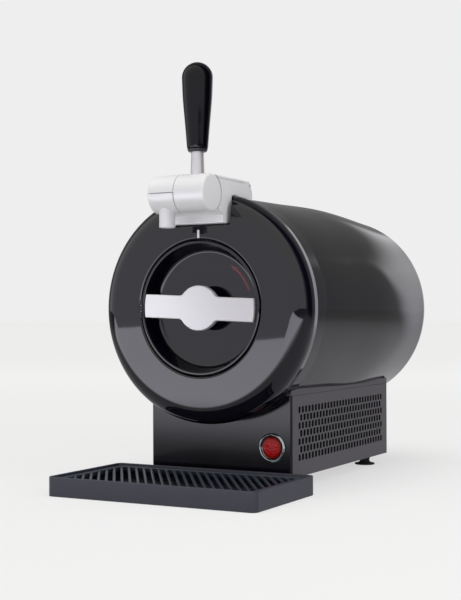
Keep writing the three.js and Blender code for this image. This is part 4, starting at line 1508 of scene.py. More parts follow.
@dataclass
class Tap(SubAssembly):
    """The tap on the bezel's crown, with its lid, barrel and lever."""

    lid_thick: float = 3 * MM
    rear_top: float = 52 * MM
    rear_low: float = 310.6 * MM
    foot_front: float = -6.6 * MM
    foot_top: float = 281.5 * MM
    cradle: Point2 = (-15 * MM, 287 * MM)
    edge: float = 1.0 * MM
    running_gap: float = 0.8 * MM
    split_gap: float = 0.7 * MM
    grip_drop: float = 1.8 * MM
    lid_hinge: Point2 = (53 * MM, 316.5 * MM)
    cheek: float = 3.2 * MM
    cheek_radius: float = 10 * MM
    knuckle_radius: float = 3.2 * MM
    lid_sweep: float = 5.5 * MM
    spout_bore: float = 5.6 * MM
    line_half: float = 4.5 * MM
    line_floor: float = 311.5 * MM
    line_rear: float = 37.5 * MM

    def __post_init__(self) -> None:
        """Read the tap's main places from the frame."""
        low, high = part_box("tap_barrel")
        self.axis = middle_of("tap_barrel")[1:]
        self.radius = (high.z - low.z) / 2
        self.right = high.x
        self.split = low.x
        low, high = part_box("tap_body")
        self.half = high.x
        self.bottom = low.z
        self.top = self.axis[1] + 18.5 * MM
        self.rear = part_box("lid_hinge_bracket")[1].y

    def at(self, depth: float) -> float:
        """A place along Y from its depth behind the bezel's face.

        Args:
            depth: The depth.

        Returns:
            The place.
        """
        return self.datum.face + depth

    def build(self) -> None:
        """Build the pieces."""
        self.build_body()
        self.build_lid()
        self.build_barrel()
        self.build_lever()
        self.build_spout()

    def drum_under(self, housing: Housing) -> bpy.types.Object:
        """A solid that fills the bezel and drum, to cut the body's underside with.

        Args:
            housing: The bezel and drum.

        Returns:
            The cutter.
        """
        side = housing.face_drop + housing.edge
        face = circle_arc((housing.outer - housing.edge, side), housing.edge + GAP, -math.pi / 2, 0, 24)
        profile = [
            (0, -GAP), *face, (housing.skirt + GAP, housing.bezel_depth),
            (housing.skirt + GAP, 2 * housing.bezel_depth), (0, 2 * housing.bezel_depth),
        ]
        solid = lathe("under", self.datum.along(profile), Axis.Y, self.datum.centre, 192, False)
        low = (-self.half - OVERRUN, self.at(-OVERRUN), self.bottom - OVERRUN)
        high = (self.half + OVERRUN, self.at(housing.notch_depth - GAP), self.top + OVERRUN)
        return combine(solid, block("foot_room", low, high), Cut.REMOVE)

    def bar(self, name: str, radius: float, left: float, right: float) -> bpy.types.Object:
        """A plain round bar along the tap's axis.

        Args:
            name: The mesh's name.
            radius: The bar's radius.
            left: Where it starts.
            right: Where it ends.

        Returns:
            The bar.
        """
        return rod(name, radius, (left, right), Axis.X, self.axis, 128)

    def cover_bottom(self) -> float:
        """The underside of the lid's plate."""
        return self.top - self.lid_thick

    def build_body(self) -> None:
        """The body: an extruded side shape with its cradle, housing and underside."""
        y, z = self.axis
        notch_rear = self.at(12.4 * MM - GAP)
        outline = rounded([
            (notch_rear, self.bottom, 1.5 * MM),
            (self.at(self.foot_front), self.bottom, 1.5 * MM),
            (self.at(self.foot_front), self.foot_top, 1 * MM),
            (self.at(self.cradle[0]), self.cradle[1], 0),
            (y, z, 0),
            (y, self.top, 0),
            (self.at(self.rear_top), self.top, 1.5 * MM),
            (self.rear, self.rear_low, 1.5 * MM),
            (self.rear, z - self.radius, 0),
            (notch_rear, z - self.radius, 0),
        ], 6, True)
        made = prism("tap_housing", outline, Axis.X, -self.half, self.half)
        soften(made, self.edge, 4, 50)
        far = (self.half + OVERRUN, y - 2 * self.radius, self.top + OVERRUN)
        barrel_room = self.bar("room", self.radius + self.running_gap, self.split - self.split_gap, far[0])
        combine(made, barrel_room, Cut.REMOVE)
        seam = z - self.split_gap / 2
        upper = block(
            "upper", (-far[0], far[1], seam), (self.split, y + self.radius + self.running_gap, far[2]),
        )
        combine(made, upper, Cut.REMOVE)
        made = combine(made, self.half_housing("lower", seam, False), Cut.ADD)
        cover = block("cover_room", (-far[0], y, self.cover_bottom()), (far[0], self.rear + OVERRUN, far[2]))
        hinge = (self.at(self.lid_hinge[0]), self.lid_hinge[1])
        cheek = rod("cheeks", self.cheek_radius, (-far[0] - OVERRUN, far[0] + OVERRUN), Axis.X, hinge, 96)
        combine(cover, cheek, Cut.REMOVE)
        inside = self.half - self.cheek
        between = block("between", (-inside, self.at(0), self.cover_bottom()), (inside, self.rear + OVERRUN, far[2]))
        combine(made, cover, Cut.REMOVE)
        combine(made, between, Cut.REMOVE)
        combine(made, rod("sweep", self.lid_sweep, (-inside, inside), Axis.X, hinge, 48), Cut.REMOVE)
        combine(made, self.drum_under(Housing(self.datum, self.finishes)), Cut.REMOVE)
        combine(made, self.line_channel(self.cover_bottom() + GAP), Cut.REMOVE)
        combine(made, self.spout_hole(), Cut.REMOVE)
        shade(made, 35)
        self.dress(made, "machine", "silver", "silver", ["tap_body", "lid_hinge_bracket"])

    def half_housing(self, name: str, seam: float, above: bool) -> bpy.types.Object:
        """One half of the left round housing, above or below its seam.

        Args:
            name: The mesh's name.
            seam: The seam's height.
            above: Whether it is the upper half.

        Returns:
            The half.
        """
        y, _ = self.axis
        left = -self.half
        right = self.split - self.split_gap
        edge = 1.5 * MM
        profile = rounded([(0, left, 0), (self.radius, left, edge), (self.radius, right, 0.3 * MM), (0, right, 0)], 5)
        made = lathe(name, profile, Axis.X, self.axis, 128, False)
        low = seam if not above else self.bottom
        high = self.top + 2 * OVERRUN if not above else seam
        away = block("away", (left - OVERRUN, y - 2 * self.radius, low), (right + OVERRUN, y + 2 * self.radius, high))
        return combine(made, away, Cut.REMOVE)

    def line_channel(self, top: float) -> bpy.types.Object:
        """The channel for the keg's line, under the lid.

        Args:
            top: The channel's top.

        Returns:
            The cutter.
        """
        x, y, _ = middle_of("spout_nozzle")
        half = self.line_half
        return block("channel", (x - half, y - half, self.line_floor), (x + half, self.at(self.line_rear), top))

    def spout_hole(self) -> bpy.types.Object:
        """The bore from the channel down through the spout.

        Returns:
            The cutter.
        """
        ends = (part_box("spout_nozzle")[0].z - OVERRUN, self.line_floor + OVERRUN)
        return rod("bore", self.spout_bore, ends, Axis.Z, middle_of("spout_nozzle")[:2], 64)

    def build_lid(self) -> None:
        """The lid: the left housing's upper half and the cover plate."""
        y, z = self.axis
        seam = z + self.split_gap / 2
        made = self.half_housing("lid", seam, True)
        behind = block("behind", (-self.half, y, seam), (self.split - self.split_gap, y + self.radius, self.top))
        combine(made, behind, Cut.ADD)
        hinge = (self.at(self.lid_hinge[0]), self.lid_hinge[1])
        bottom = self.cover_bottom() + GAP
        plate = block("plate", (-self.half, y, bottom), (self.half, hinge[0], self.top))
        soften(plate, 0.6 * MM, 3)
        room = self.bar("room", self.radius + self.running_gap, self.split - self.split_gap, self.half + OVERRUN)
        combine(plate, room, Cut.REMOVE)
        inside = self.half - self.cheek - GAP
        for low, high in ((-self.half - OVERRUN, -inside), (inside, self.half + OVERRUN)):
            corner = block(
                "corner",
                (low, hinge[0] - self.cheek_radius - GAP, bottom - OVERRUN),
                (high, self.rear, self.top + OVERRUN),
            )
            combine(plate, corner, Cut.REMOVE)
        combine(made, plate, Cut.ADD)
        knuckle = lathe(
            "knuckle",
            rounded([(0, -inside, 0), (self.knuckle_radius, -inside, 0.4 * MM),
                     (self.knuckle_radius, inside, 0.4 * MM), (0, inside, 0)], 3),
            Axis.X, hinge, 48, False,
        )
        combine(made, knuckle, Cut.ADD)
        combine(made, self.line_channel(self.cover_bottom()), Cut.REMOVE)
        shade(made, 35)
        self.dress(made, "tap_cover", "silver", "silver", ["tap_lid"])

    def build_barrel(self) -> None:
        """The turning barrel."""
        edge = 2.6 * MM
        profile = rounded([
            (0, self.split, 0), (self.radius, self.split, 0.4 * MM),
            (self.radius, self.right, edge), (0, self.right, 0),
        ], 6)
        made = shade(lathe("barrel", profile, Axis.X, self.axis, 160, False), 35)
        self.dress(made, "tap_lever", "silver", "silver", ["tap_barrel"])

    def build_lever(self) -> None:
        """The stem, the ferrule and the black handle."""
        low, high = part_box("lever_stem")
        centre = middle_of("lever_stem")[:2]
        stem_r = (high.x - low.x) / 2
        foot_r = stem_r + 0.5 * MM
        foot = self.axis[1] + self.radius
        stem = lathe("stem", rounded([
            (0, low.z, 0), (foot_r, low.z, 0.5 * MM), (foot_r, foot + 2 * MM, 4 * MM), (stem_r, foot + 16 * MM, 8 * MM),
            (stem_r, high.z, 0.5 * MM), (0, high.z, 0),
        ], 6), Axis.Z, centre, 96, False)
        self.dress(shade(stem, 40), "tap_lever", "stem_silver", "silver", ["lever_stem"])
        low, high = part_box("handle_ferrule")
        outer = (high.x - low.x) / 2
        ferrule = lathe("ferrule", rounded([
            (stem_r + GAP, low.z, 0), (outer - 1.8 * MM, low.z, 0.6 * MM),
            (outer, high.z, 0.4 * MM), (stem_r + GAP, high.z, 0),
        ], 4, True), Axis.Z, centre, 96)
        self.dress(shade(ferrule, 40), "tap_lever", "satin_black", "satin_black", ["handle_ferrule"])
        low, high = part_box("lever_handle")
        wide = (high.x - low.x) / 2
        narrow = wide - 5 * MM
        dome = wide
        top = high.z - self.grip_drop
        shoulder = top - dome
        start = low.z + 1.2 * MM
        rise = shoulder - start
        side = [(r, along) for along, r in hermite([
            (start, narrow), (start + 0.3 * rise, narrow + 1.7 * MM),
            (start + 0.7 * rise, wide - 0.9 * MM), (shoulder, wide),
        ], 8)]
        crown = circle_arc((0, shoulder), dome, 0, math.pi / 2, 24)
        handle = lathe("handle", [
            (0, low.z), (narrow - 1.2 * MM, low.z), (narrow - 0.4 * MM, low.z + 0.4 * MM), *side, *crown[1:-1],
            (0, top),
        ], Axis.Z, centre, 128, False)
        self.dress(shade(handle, 40), "tap_lever", "handle_black", "gloss_black", ["lever_handle"])

    def build_spout(self) -> None:
        """The nozzle under the left housing."""
        low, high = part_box("spout_nozzle")
        centre = middle_of("spout_nozzle")[:2]
        outer = (high.x - low.x) / 2
        edge = 0.9 * MM
        section = rounded([
            (self.spout_bore, low.z, edge), (outer, low.z, edge),
            (outer, high.z, 0.3 * MM), (self.spout_bore, high.z, 0.3 * MM),
        ], 4, True)
        made = shade(lathe("nozzle", section, Axis.Z, centre, 96), 40)
        self.dress(made, "machine", "silver", "silver", ["spout_nozzle"])


# Base, its vents, feet and button


@dataclass
class Base(SubAssembly):
    """The base's sheets, panels, feet, screws and power button."""

    nodes: dict[str, bpy.types.Object]
    vent_front: float = 16.8 * MM
    vent_rear: float = 19.1 * MM
    vent_below: float = 19.8 * MM
    vent_above: float = 15.12 * MM
    vent_rows: int = 7
    long_row: int = 29
    slot_width: float = 5.2 * MM
    slot_height: float = 6.8 * MM
    slot_round: float = 1.1 * MM
    rear_chamfer: float = 3 * MM
    pad_thick: float = 1.6 * MM
    pad_radius: float = 12 * MM
    neck_radius: float = 7 * MM
    neck_low: float = 5.4 * MM
    ring_proud: float = 2 * MM
    sleeve_radius: float = 13 * MM
    lens_radius: float = 11.2 * MM
    head_thick: float = 1.4 * MM
    shank_radius: float = 1.4 * MM

    def build(self) -> None:
        """Build the pieces."""
        for side in ("right", "left"):
            self.build_sheet(side)
        for name, node, finish, slot, width in (
            ("front_sheet", "front_panel", "front_black", "satin_black", 0.7 * MM),
            ("rear_sheet", "rear_panel", "dark_sheet", "dark_sheet", 0.4 * MM),
            ("floor_sheet", "base_floor", "satin_black", "satin_black", 0.4 * MM),
            ("drum_rest", "drum_saddle", "dark_sheet", "satin_black", 0.5 * MM),
            ("inlet", "power_inlet", "satin_black", "satin_black", 0.4 * MM),
        ):
            self.dress(refined(name, self.nodes[node], width), "machine", finish, slot, [node])
        for foot in ("front_left", "front_right", "rear_left", "rear_right"):
            self.build_foot(foot)
        self.build_screws()
        self.build_button()

    def build_sheet(self, side: str) -> None:
        """A side sheet with its staggered rows of slots, made by geometry nodes.

        Args:
            side: Either right or left.
        """
        node = f"{side}_vent_panel"
        low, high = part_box(node)
        span = high.y - low.y - self.vent_front - self.vent_rear
        rise = high.z - low.z - self.vent_below - self.vent_above
        tree = ShapeTree(f"{side}_perforated_sheet")
        length = tree.number("Length", high.y - low.y)
        height = tree.number("Height", high.z - low.z)
        thick = tree.number("Thickness", high.x - low.x)
        wide = tree.number("Slot Width", self.slot_width)
        tall = tree.number("Slot Height", self.slot_height)
        corner = tree.number("Slot Round", self.slot_round)
        across = tree.number("Row Length", span)
        up = tree.number("Rows Height", rise)
        count = tree.whole("Slots in Long Row", self.long_row)
        rows = tree.whole("Rows", self.vent_rows)
        sheet = tree.shape("CurvePrimitiveQuadrilateral", width=length, height=height)
        sharp = tree.shape("CurvePrimitiveQuadrilateral", width=wide, height=tall)
        slot = tree.shape("FilletCurve", {"mode": "POLY"}, curve=sharp, count=2, radius=corner)
        pitch, row_pitch = across / (count - 1.0), up / (rows - 1.0)
        long_rows = tree.shape(
            "MeshGrid", size_x=across, size_y=up, vertices_x=count, vertices_y=(rows + 1.0) / 2,
        )
        short_rows = tree.shape(
            "MeshGrid", size_x=across - pitch, size_y=up - 2 * row_pitch,
            vertices_x=count - 1, vertices_y=(rows - 1.0) / 2,
        )
        slots = tree.shape("InstanceOnPoints", points=tree.joined(long_rows, short_rows), instance=slot)
        shift = ((self.vent_front - self.vent_rear) / 2, (self.vent_below - self.vent_above) / 2, 0)
        holes = tree.shape("RealizeInstances", geometry=tree.shape("Transform", geometry=slots, translation=shift))
        flat = tree.shape("FillCurve", curve=tree.joined(sheet, holes))
        pushed = tree.shape("ExtrudeMesh", mesh=flat, offset=(0, 0, 1), offset_scale=thick, individual=False)
        solid = tree.joined(pushed, tree.shape("FlipFaces", mesh=flat))
        centre = (low.x, *middle_of(node)[1:])
        turned = tree.shape(
            "Transform", geometry=solid, translation=centre, rotation=(math.pi / 2, 0, math.pi / 2),
        )
        made = tree.grow(f"{side}_vents", turned, self.finishes["vent_sheet"], [Vector((0, 0, 0))])
        cut = self.rear_chamfer
        wedge = [(high.y - cut, low.z - OVERRUN), (high.y + OVERRUN, low.z - OVERRUN), (high.y + OVERRUN, low.z + cut)]
        combine(made, prism("wedge", wedge, Axis.X, low.x - OVERRUN, high.x + OVERRUN), Cut.REMOVE)
        shade(made, 35)
        self.dress(made, "machine", "vent_sheet", "dark_sheet", [node])

    def build_foot(self, which: str) -> None:
        """One foot: a wide soft pad under a neck.

        Args:
            which: The corner, such as front_left.
        """
        low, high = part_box(f"{which}_foot")
        centre = middle_of(f"{which}_foot")[:2]
        pad = self.pad_radius
        top = low.z + self.pad_thick
        profile = rounded([
            (0, low.z, 0), (pad - 0.4 * MM, low.z, 0.4 * MM), (pad, low.z + 0.6 * MM, 0.4 * MM), (pad, top, 0.6 * MM),
            (self.neck_low + 2.5 * MM, top + 0.6 * MM, 1.5 * MM), (self.neck_low, top + 3 * MM, 2 * MM),
            (self.neck_radius, high.z - 1.5 * MM, 1 * MM), (self.neck_radius, high.z, 0.2 * MM), (0, high.z, 0),
        ], 5)
        made = shade(lathe(f"{which}_pad", profile, Axis.Z, centre, 64, False), 35)
        self.dress(made, "machine", "rubber", "rubber", [f"{which}_foot"])

    def build_screws(self) -> None:
        """The rear panel's cross-head screws, made by geometry nodes."""
        names = [f"rear_panel_screw_{i}" for i in range(1, 5)]
        boxes = [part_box(name) for name in names]
        low, high = boxes[0]
        radius = (high.x - low.x) / 2
        tree = ShapeTree("cross_head_screws")
        wide = tree.number("Head Radius", radius)
        thick = tree.number("Head Thickness", self.head_thick)
        shank = tree.number("Shank Radius", self.shank_radius)
        length = tree.number("Length", high.y - low.y)
        arm = tree.number("Cross Width", 0.22 * radius)
        bar = tree.shape("MeshCube", size=tree.vector(wide * 1.2, arm, thick))
        other = tree.shape("MeshCube", size=tree.vector(arm, wide * 1.2, thick))
        lifted = tree.vector(0.0, 0.0, thick * 0.5)
        cross = tree.shape("Transform", geometry=tree.joined(bar, other), translation=lifted)
        head = tree.shape("MeshCylinder", vertices=32, radius=wide, depth=thick)
        cut = tree.shape("MeshBoolean", {"operation": "DIFFERENCE", "solver": "EXACT"}, mesh_1=head, mesh_2=cross)
        rod = tree.shape("MeshCylinder", vertices=20, radius=shank, depth=length - thick)
        below = tree.vector(0.0, 0.0, length * -0.5)
        screw = tree.joined(cut, tree.shape("Transform", geometry=rod, translation=below))
        upright = tree.shape("Transform", geometry=screw, rotation=(-math.pi / 2, 0, 0))
        placed = tree.shape("InstanceOnPoints", points=tree.geometry(), instance=upright)
        back = Vector((0, self.head_thick / 2, 0))
        points = [Vector(((a.x + b.x) / 2, b.y, (a.z + b.z) / 2)) - back for a, b in boxes]
        made = tree.grow("panel_screws", placed, self.finishes["steel"], points)
        shade(soften(made, 0.15 * MM, 2, 40), 35)
        self.dress(made, "machine", "steel", "steel", names)

    def build_button(self) -> None:
        """The chromed ring and the domed red lens."""
        low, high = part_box("button_ring")
        centre = middle_of("button_ring")[::2]
        outer = (high.x - low.x) / 2
        seat = low.y + self.ring_proud
        inner = self.lens_radius + 0.3 * MM
        section = rounded([
            (inner + 1.2 * MM, low.y + 0.5 * MM, 0.3 * MM), (self.sleeve_radius + 0.4 * MM, low.y, 0.5 * MM),
            (outer, seat - 0.8 * MM, 0.6 * MM), (outer, seat, 0.1 * MM), (self.sleeve_radius, seat, 0),
            (self.sleeve_radius, high.y, 0), (inner, high.y, 0), (inner, seat + 1 * MM, 0.2 * MM),
            (inner + 0.8 * MM, seat + 0.6 * MM, 0.2 * MM),
        ], 4, True)
        ring = shade(lathe("ring", section, Axis.Y, centre, 96), 30)
        self.dress(ring, "machine", "ring_chrome", "silver", ["button_ring"])
        low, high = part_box("power_button")
        reach = self.lens_radius
        profile = [
            (0, low.y), *[(reach * s, low.y + 1.9 * MM * s**3) for s in (0.3, 0.5, 0.7, 0.8, 0.88, 0.94)],
            (reach, low.y + 2.4 * MM), (reach, high.y), (0, high.y),
        ]
        lens = shade(lathe("lens", profile, Axis.Y, centre, 72, False), 40)
        self.dress(lens, "button", "red_lens", "red_lens", ["power_button"])


# Drip tray and grille


@dataclass
class Tray(SubAssembly):
    """The drip tray and the slatted grille in it."""

    corner: float = 6.8 * MM
    wall: float = 3.2 * MM
    floor: float = 3 * MM
    ledge: float = 2.8 * MM
    ledge_height: float = 12 * MM
    length: float = 131.4 * MM
    tongue_half: float = 50 * MM
    tongue_thick: float = 4.5 * MM
    border: float = 8 * MM
    slat_width: float = 3.2 * MM
    slat_count: int = 30
    slat_turn: float = 33.6
    slat_drop: float = 0.4 * MM
    slat_depth: float = 3.6 * MM
    slat_round: float = 1.45 * MM

    def build(self) -> None:
        """Build the pieces."""
        self.build_tray()
        self.build_grille()

    def nested(self, half: float, low: float, high: float, inset: float, height: float) -> list[Vector]:
        """One level of the tray's rounded outline, drawn in by an inset.

        Args:
            half: Half the tray's width.
            low: Its front.
            high: Its rear.
            inset: How far the level is drawn in.
            height: The level's height.

        Returns:
            The points of the level.
        """
        corner = max(self.corner - inset, 0.6 * MM)
        outline = rounded_rectangle(half - inset, low + inset, high - inset, corner, 10)
        return [Vector((u, v, height)) for u, v in outline]

    def build_tray(self) -> None:
        """The tray: a rounded wall, a ledge for the grille, a well and a tongue under the base."""
        low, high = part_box("drip_tray")
        rear = low.y + self.length
        seat = self.wall + self.ledge
        section = rounded([
            (1.4 * MM, low.z, 0), (0, low.z, 0.9 * MM), (0, high.z, 0.7 * MM), (self.wall, high.z, 0.5 * MM),
            (self.wall, self.ledge_height, 0.4 * MM), (seat, self.ledge_height, 0.3 * MM), (seat, self.floor, 1 * MM),
            (seat + 2 * MM, self.floor, 0),
        ], 4)
        made = loft("tray", [self.nested(high.x, low.y, rear, inset, height) for inset, height in section])
        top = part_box("base_floor")[0].z - GAP
        tongue = block(
            "tongue", (-self.tongue_half, rear - self.wall, top - self.tongue_thick), (self.tongue_half, high.y, top),
        )
        absorb(made, soften(tongue, 0.8 * MM, 3))
        shade(made, 30)
        self.dress(made, "tray", "slate", "slate", ["drip_tray"])

    def build_grille(self) -> None:
        """The grille: a frame and slanting slats, made by geometry nodes."""
        low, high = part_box("drip_grille")
        half, corner = high.x, max(self.corner - self.wall, 1 * MM)
        wide, front, rear = half - self.border, low.y + self.border, high.y - self.border
        made = prism("grille", rounded_rectangle(half, low.y, high.y, corner), Axis.Z, low.z, high.z)
        hole = block("hole", (-wide, front, low.z - OVERRUN), (wide, rear, high.z + OVERRUN))
        soften(combine(made, hole, Cut.REMOVE), 0.6 * MM, 3)
        turn = math.radians(self.slat_turn)
        reach = wide + (rear - front)
        tree = ShapeTree("slanting_slats")
        width = tree.number("Slat Width", self.slat_width)
        depth = tree.number("Slat Depth", self.slat_depth)
        corner = tree.number("Slat Round", self.slat_round)
        count = tree.whole("Slats", self.slat_count)
        across = tree.number("Across", 2 * wide * math.cos(turn) + (rear - front) * math.sin(turn))
        angle = tree.number("Turn", turn)
        pitch = across / count
        bar = tree.shape("CurvePrimitiveQuadrilateral", width=width, height=depth)
        profile = tree.shape("FilletCurve", {"mode": "POLY"}, curve=bar, count=4, radius=corner)
        line = tree.shape("CurvePrimitiveLine", start=(0, -reach, 0), end=(0, reach, 0))
        slat = tree.shape("CurveToMesh", curve=line, profile_curve=profile, fill_caps=True)
        first = tree.vector((pitch - across) * 0.5, 0.0, 0.0)
        places = tree.shape("MeshLine", count=count, start_location=first, offset=tree.vector(pitch, 0.0, 0.0))
        slats = tree.shape("InstanceOnPoints", points=places, instance=slat)
        middle = (0, (front + rear) / 2, high.z - self.slat_drop - self.slat_depth / 2)
        turned = tree.shape("Transform", geometry=slats, translation=middle, rotation=tree.vector(0.0, 0.0, angle))
        bars = tree.grow("slats", turned, self.finishes["slat_black"], [Vector((0, 0, 0))])
        seam = 0.05 * MM
        opening = block(
            "opening", (-wide - seam, front - seam, low.z - OVERRUN), (wide + seam, rear + seam, high.z + OVERRUN),
        )
        absorb(made, combine(bars, opening, Cut.KEEP))
        shade(made, 30)
        self.dress(made, "grille", "slat_black", "slate", ["drip_grille"])


# Main


def make_finishes() -> dict[str, bpy.types.Material]:
    """Build every material of the object.

    Returns:
        The materials by the name of their finish.
    """
    low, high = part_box("power_button")
    button = middle_of("power_button")
    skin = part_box("right_vent_panel")[1].x - 0.1 * MM
    finishes = {
        # The vent sheet's second colour is painted shade for its slot walls and inner side.
        "vent_sheet": PaintedSheet("vent_sheet", (0.068, 0.063, 0.072), (0.002, 0.002, 0.003), skin),
        "gloss_black": GlossPlastic("gloss_black", (0.0025, 0.0025, 0.006), ior=1.47),
        "drum_black": GlossPlastic("drum_black", (0.003, 0.0026, 0.0032), 0.04, 0.04, 1.47),
        "handle_black": GlossPlastic("handle_black", (0.0015, 0.0015, 0.0035), 0.06, 0.04, 1.3),
        "satin_black": GrainedPlastic("satin_black", (0.012, 0.012, 0.014), 0.32),
        "dark_sheet": GrainedPlastic("dark_sheet", (0.068, 0.063, 0.072), 0.45, 900.0, 0.05 * MM),
        "front_black": GlossPlastic("front_black", (0.0035, 0.0035, 0.0065), 0.12, 0.05, 1.36),
        "slate": GrainedPlastic("slate", (0.03, 0.032, 0.045), 0.34),
        "slat_black": GlossPlastic("slat_black", (0.03, 0.037, 0.052), 0.2, 0.06, 1.6),
        "rubber": GrainedPlastic("rubber", (0.012, 0.012, 0.012), 0.75, 1200.0, 0.06 * MM),
        "ceramic": GrainedPlastic("ceramic", (0.75, 0.74, 0.7), 0.5),
        "board_green": GrainedPlastic("board_green", (0.012, 0.09, 0.035), 0.35),
        "silver": SatinMetal("silver", (0.84, 0.842, 0.86), 0.36, 0.1),
        # The bar's second colour is painted shade, darkening it towards its right end.
        "bar_silver": BrushedBar("bar_silver", (0.8, 0.795, 0.815), (0.55, 0.54, 0.56), Door.bar_reach),
        "stem_silver": SatinMetal("stem_silver", (0.6, 0.585, 0.6), 0.3, 0.5),
        "steel": SatinMetal("steel", (0.55, 0.56, 0.58), 0.35, 1.0, (1, 8, 8)),
        "aluminium": SatinMetal("aluminium", (0.7, 0.71, 0.73), 0.38, 1.0, (12, 1, 12)),
        "red_lens": LitLens("red_lens", (0.3, 0.004, 0.005), button, (high.x - low.x) / 2),
        "ring_chrome": SatinMetal("ring_chrome", (0.3, 0.36, 0.35), 0.16, 1.0),
        "red_print": GrainedPlastic("red_print", (0.09, 0.006, 0.008), 0.4),
        "white_print": GrainedPlastic("white_print", (0.75, 0.75, 0.76), 0.4),
        "foam": Foam("foam", (0.7, 0.67, 0.6)),
    }
    return {name: finish.material() for name, finish in finishes.items()}


@dataclass(frozen=True)
class PhotoCamera:
    """The photograph's view, as fitted to the object."""

    azimuth: float = 28.2
    elevation: float = -0.758
    roll: float = -0.149
    distance: float = 1250.88 * MM
    aim_height: float = 185.39 * MM
    aim_right: float = 32.66 * MM
    aim_up: float = 10.29 * MM
    lens: float = 73.03
    sensor: float = 36.0

    def axes(self) -> tuple[Vector, Vector]:
        """The directions towards the camera and to its right.

        Returns:
            Both directions.
        """
        azimuth, elevation = math.radians(self.azimuth), math.radians(self.elevation)
        back = Vector((
            math.sin(azimuth) * math.cos(elevation), -math.cos(azimuth) * math.cos(elevation), math.sin(elevation),
        ))
        return back, Vector((math.cos(azimuth), math.sin(azimuth), 0))

    def place(self, datum: Datum) -> Vector:
        """The camera's place.

        Args:
            datum: The object's own places.

        Returns:
            The place.
        """
        back, right = self.axes()
        aim = Vector((0, datum.face, self.aim_height))
        return aim + back * self.distance + right * self.aim_right + Vector((0, 0, self.aim_up))

    def build(self, datum: Datum) -> None:
        """Create the camera.

        Args:
            datum: The object's own places, from which the view is set out.
        """
        back, right = self.axes()
        place = self.place(datum)
        up = back.cross(right)
        turn = Matrix.Rotation(math.radians(self.roll), 3, back)
        basis = Matrix((turn @ right, turn @ up, back)).transposed().to_4x4()
        lens = bpy.data.cameras.new("photo_camera")
        lens.lens = self.lens
        lens.sensor_width = self.sensor
        lens.clip_end = 100
        camera = bpy.data.objects.new("photo_camera", lens)
        camera.matrix_world = Matrix.Translation(place) @ basis
        bpy.context.scene.collection.objects.link(camera)
        bpy.context.scene.camera = camera


def sector(x: Value, y: Value, direction: Point2) -> Value:
    """How far a level direction points along another one, from -1 to 1.

    Args:
        x: The direction along X.
        y: The direction along Y.
        direction: The other direction.

    Returns:
        The cosine of the angle between them.
    """
    return (x * direction[0] + y * direction[1]) / (x * x + y * y) ** 0.5


@dataclass(frozen=True)
class Lamp:
    """A soft lamp that faces the object from a distance."""

    name: str
    azimuth: float
    elevation: float
    distance: float
    size: Point2
    power: float
    colour: Colour
    mirrored: bool = False

    def build(self) -> None:
        """Create the lamp; the azimuth runs in degrees from the front towards the right."""
        light = bpy.data.lights.new(self.name, "AREA")
        light.shape = "RECTANGLE"
        light.size, light.size_y = self.size
        light.energy = self.power
        light.color = self.colour
        lamp = bpy.data.objects.new(self.name, light)
        bpy.context.scene.collection.objects.link(lamp)
        turn, rise = math.radians(self.azimuth), math.radians(self.elevation)
        level = self.distance * math.cos(rise)
        away = Vector((level * math.sin(turn), -level * math.cos(turn), self.distance * math.sin(rise)))
        lamp.location = away + Vector((0, 0, 0.2))
        lamp.rotation_euler = (-away).to_track_quat("-Z", "Y").to_euler()
        lamp.visible_glossy = self.mirrored


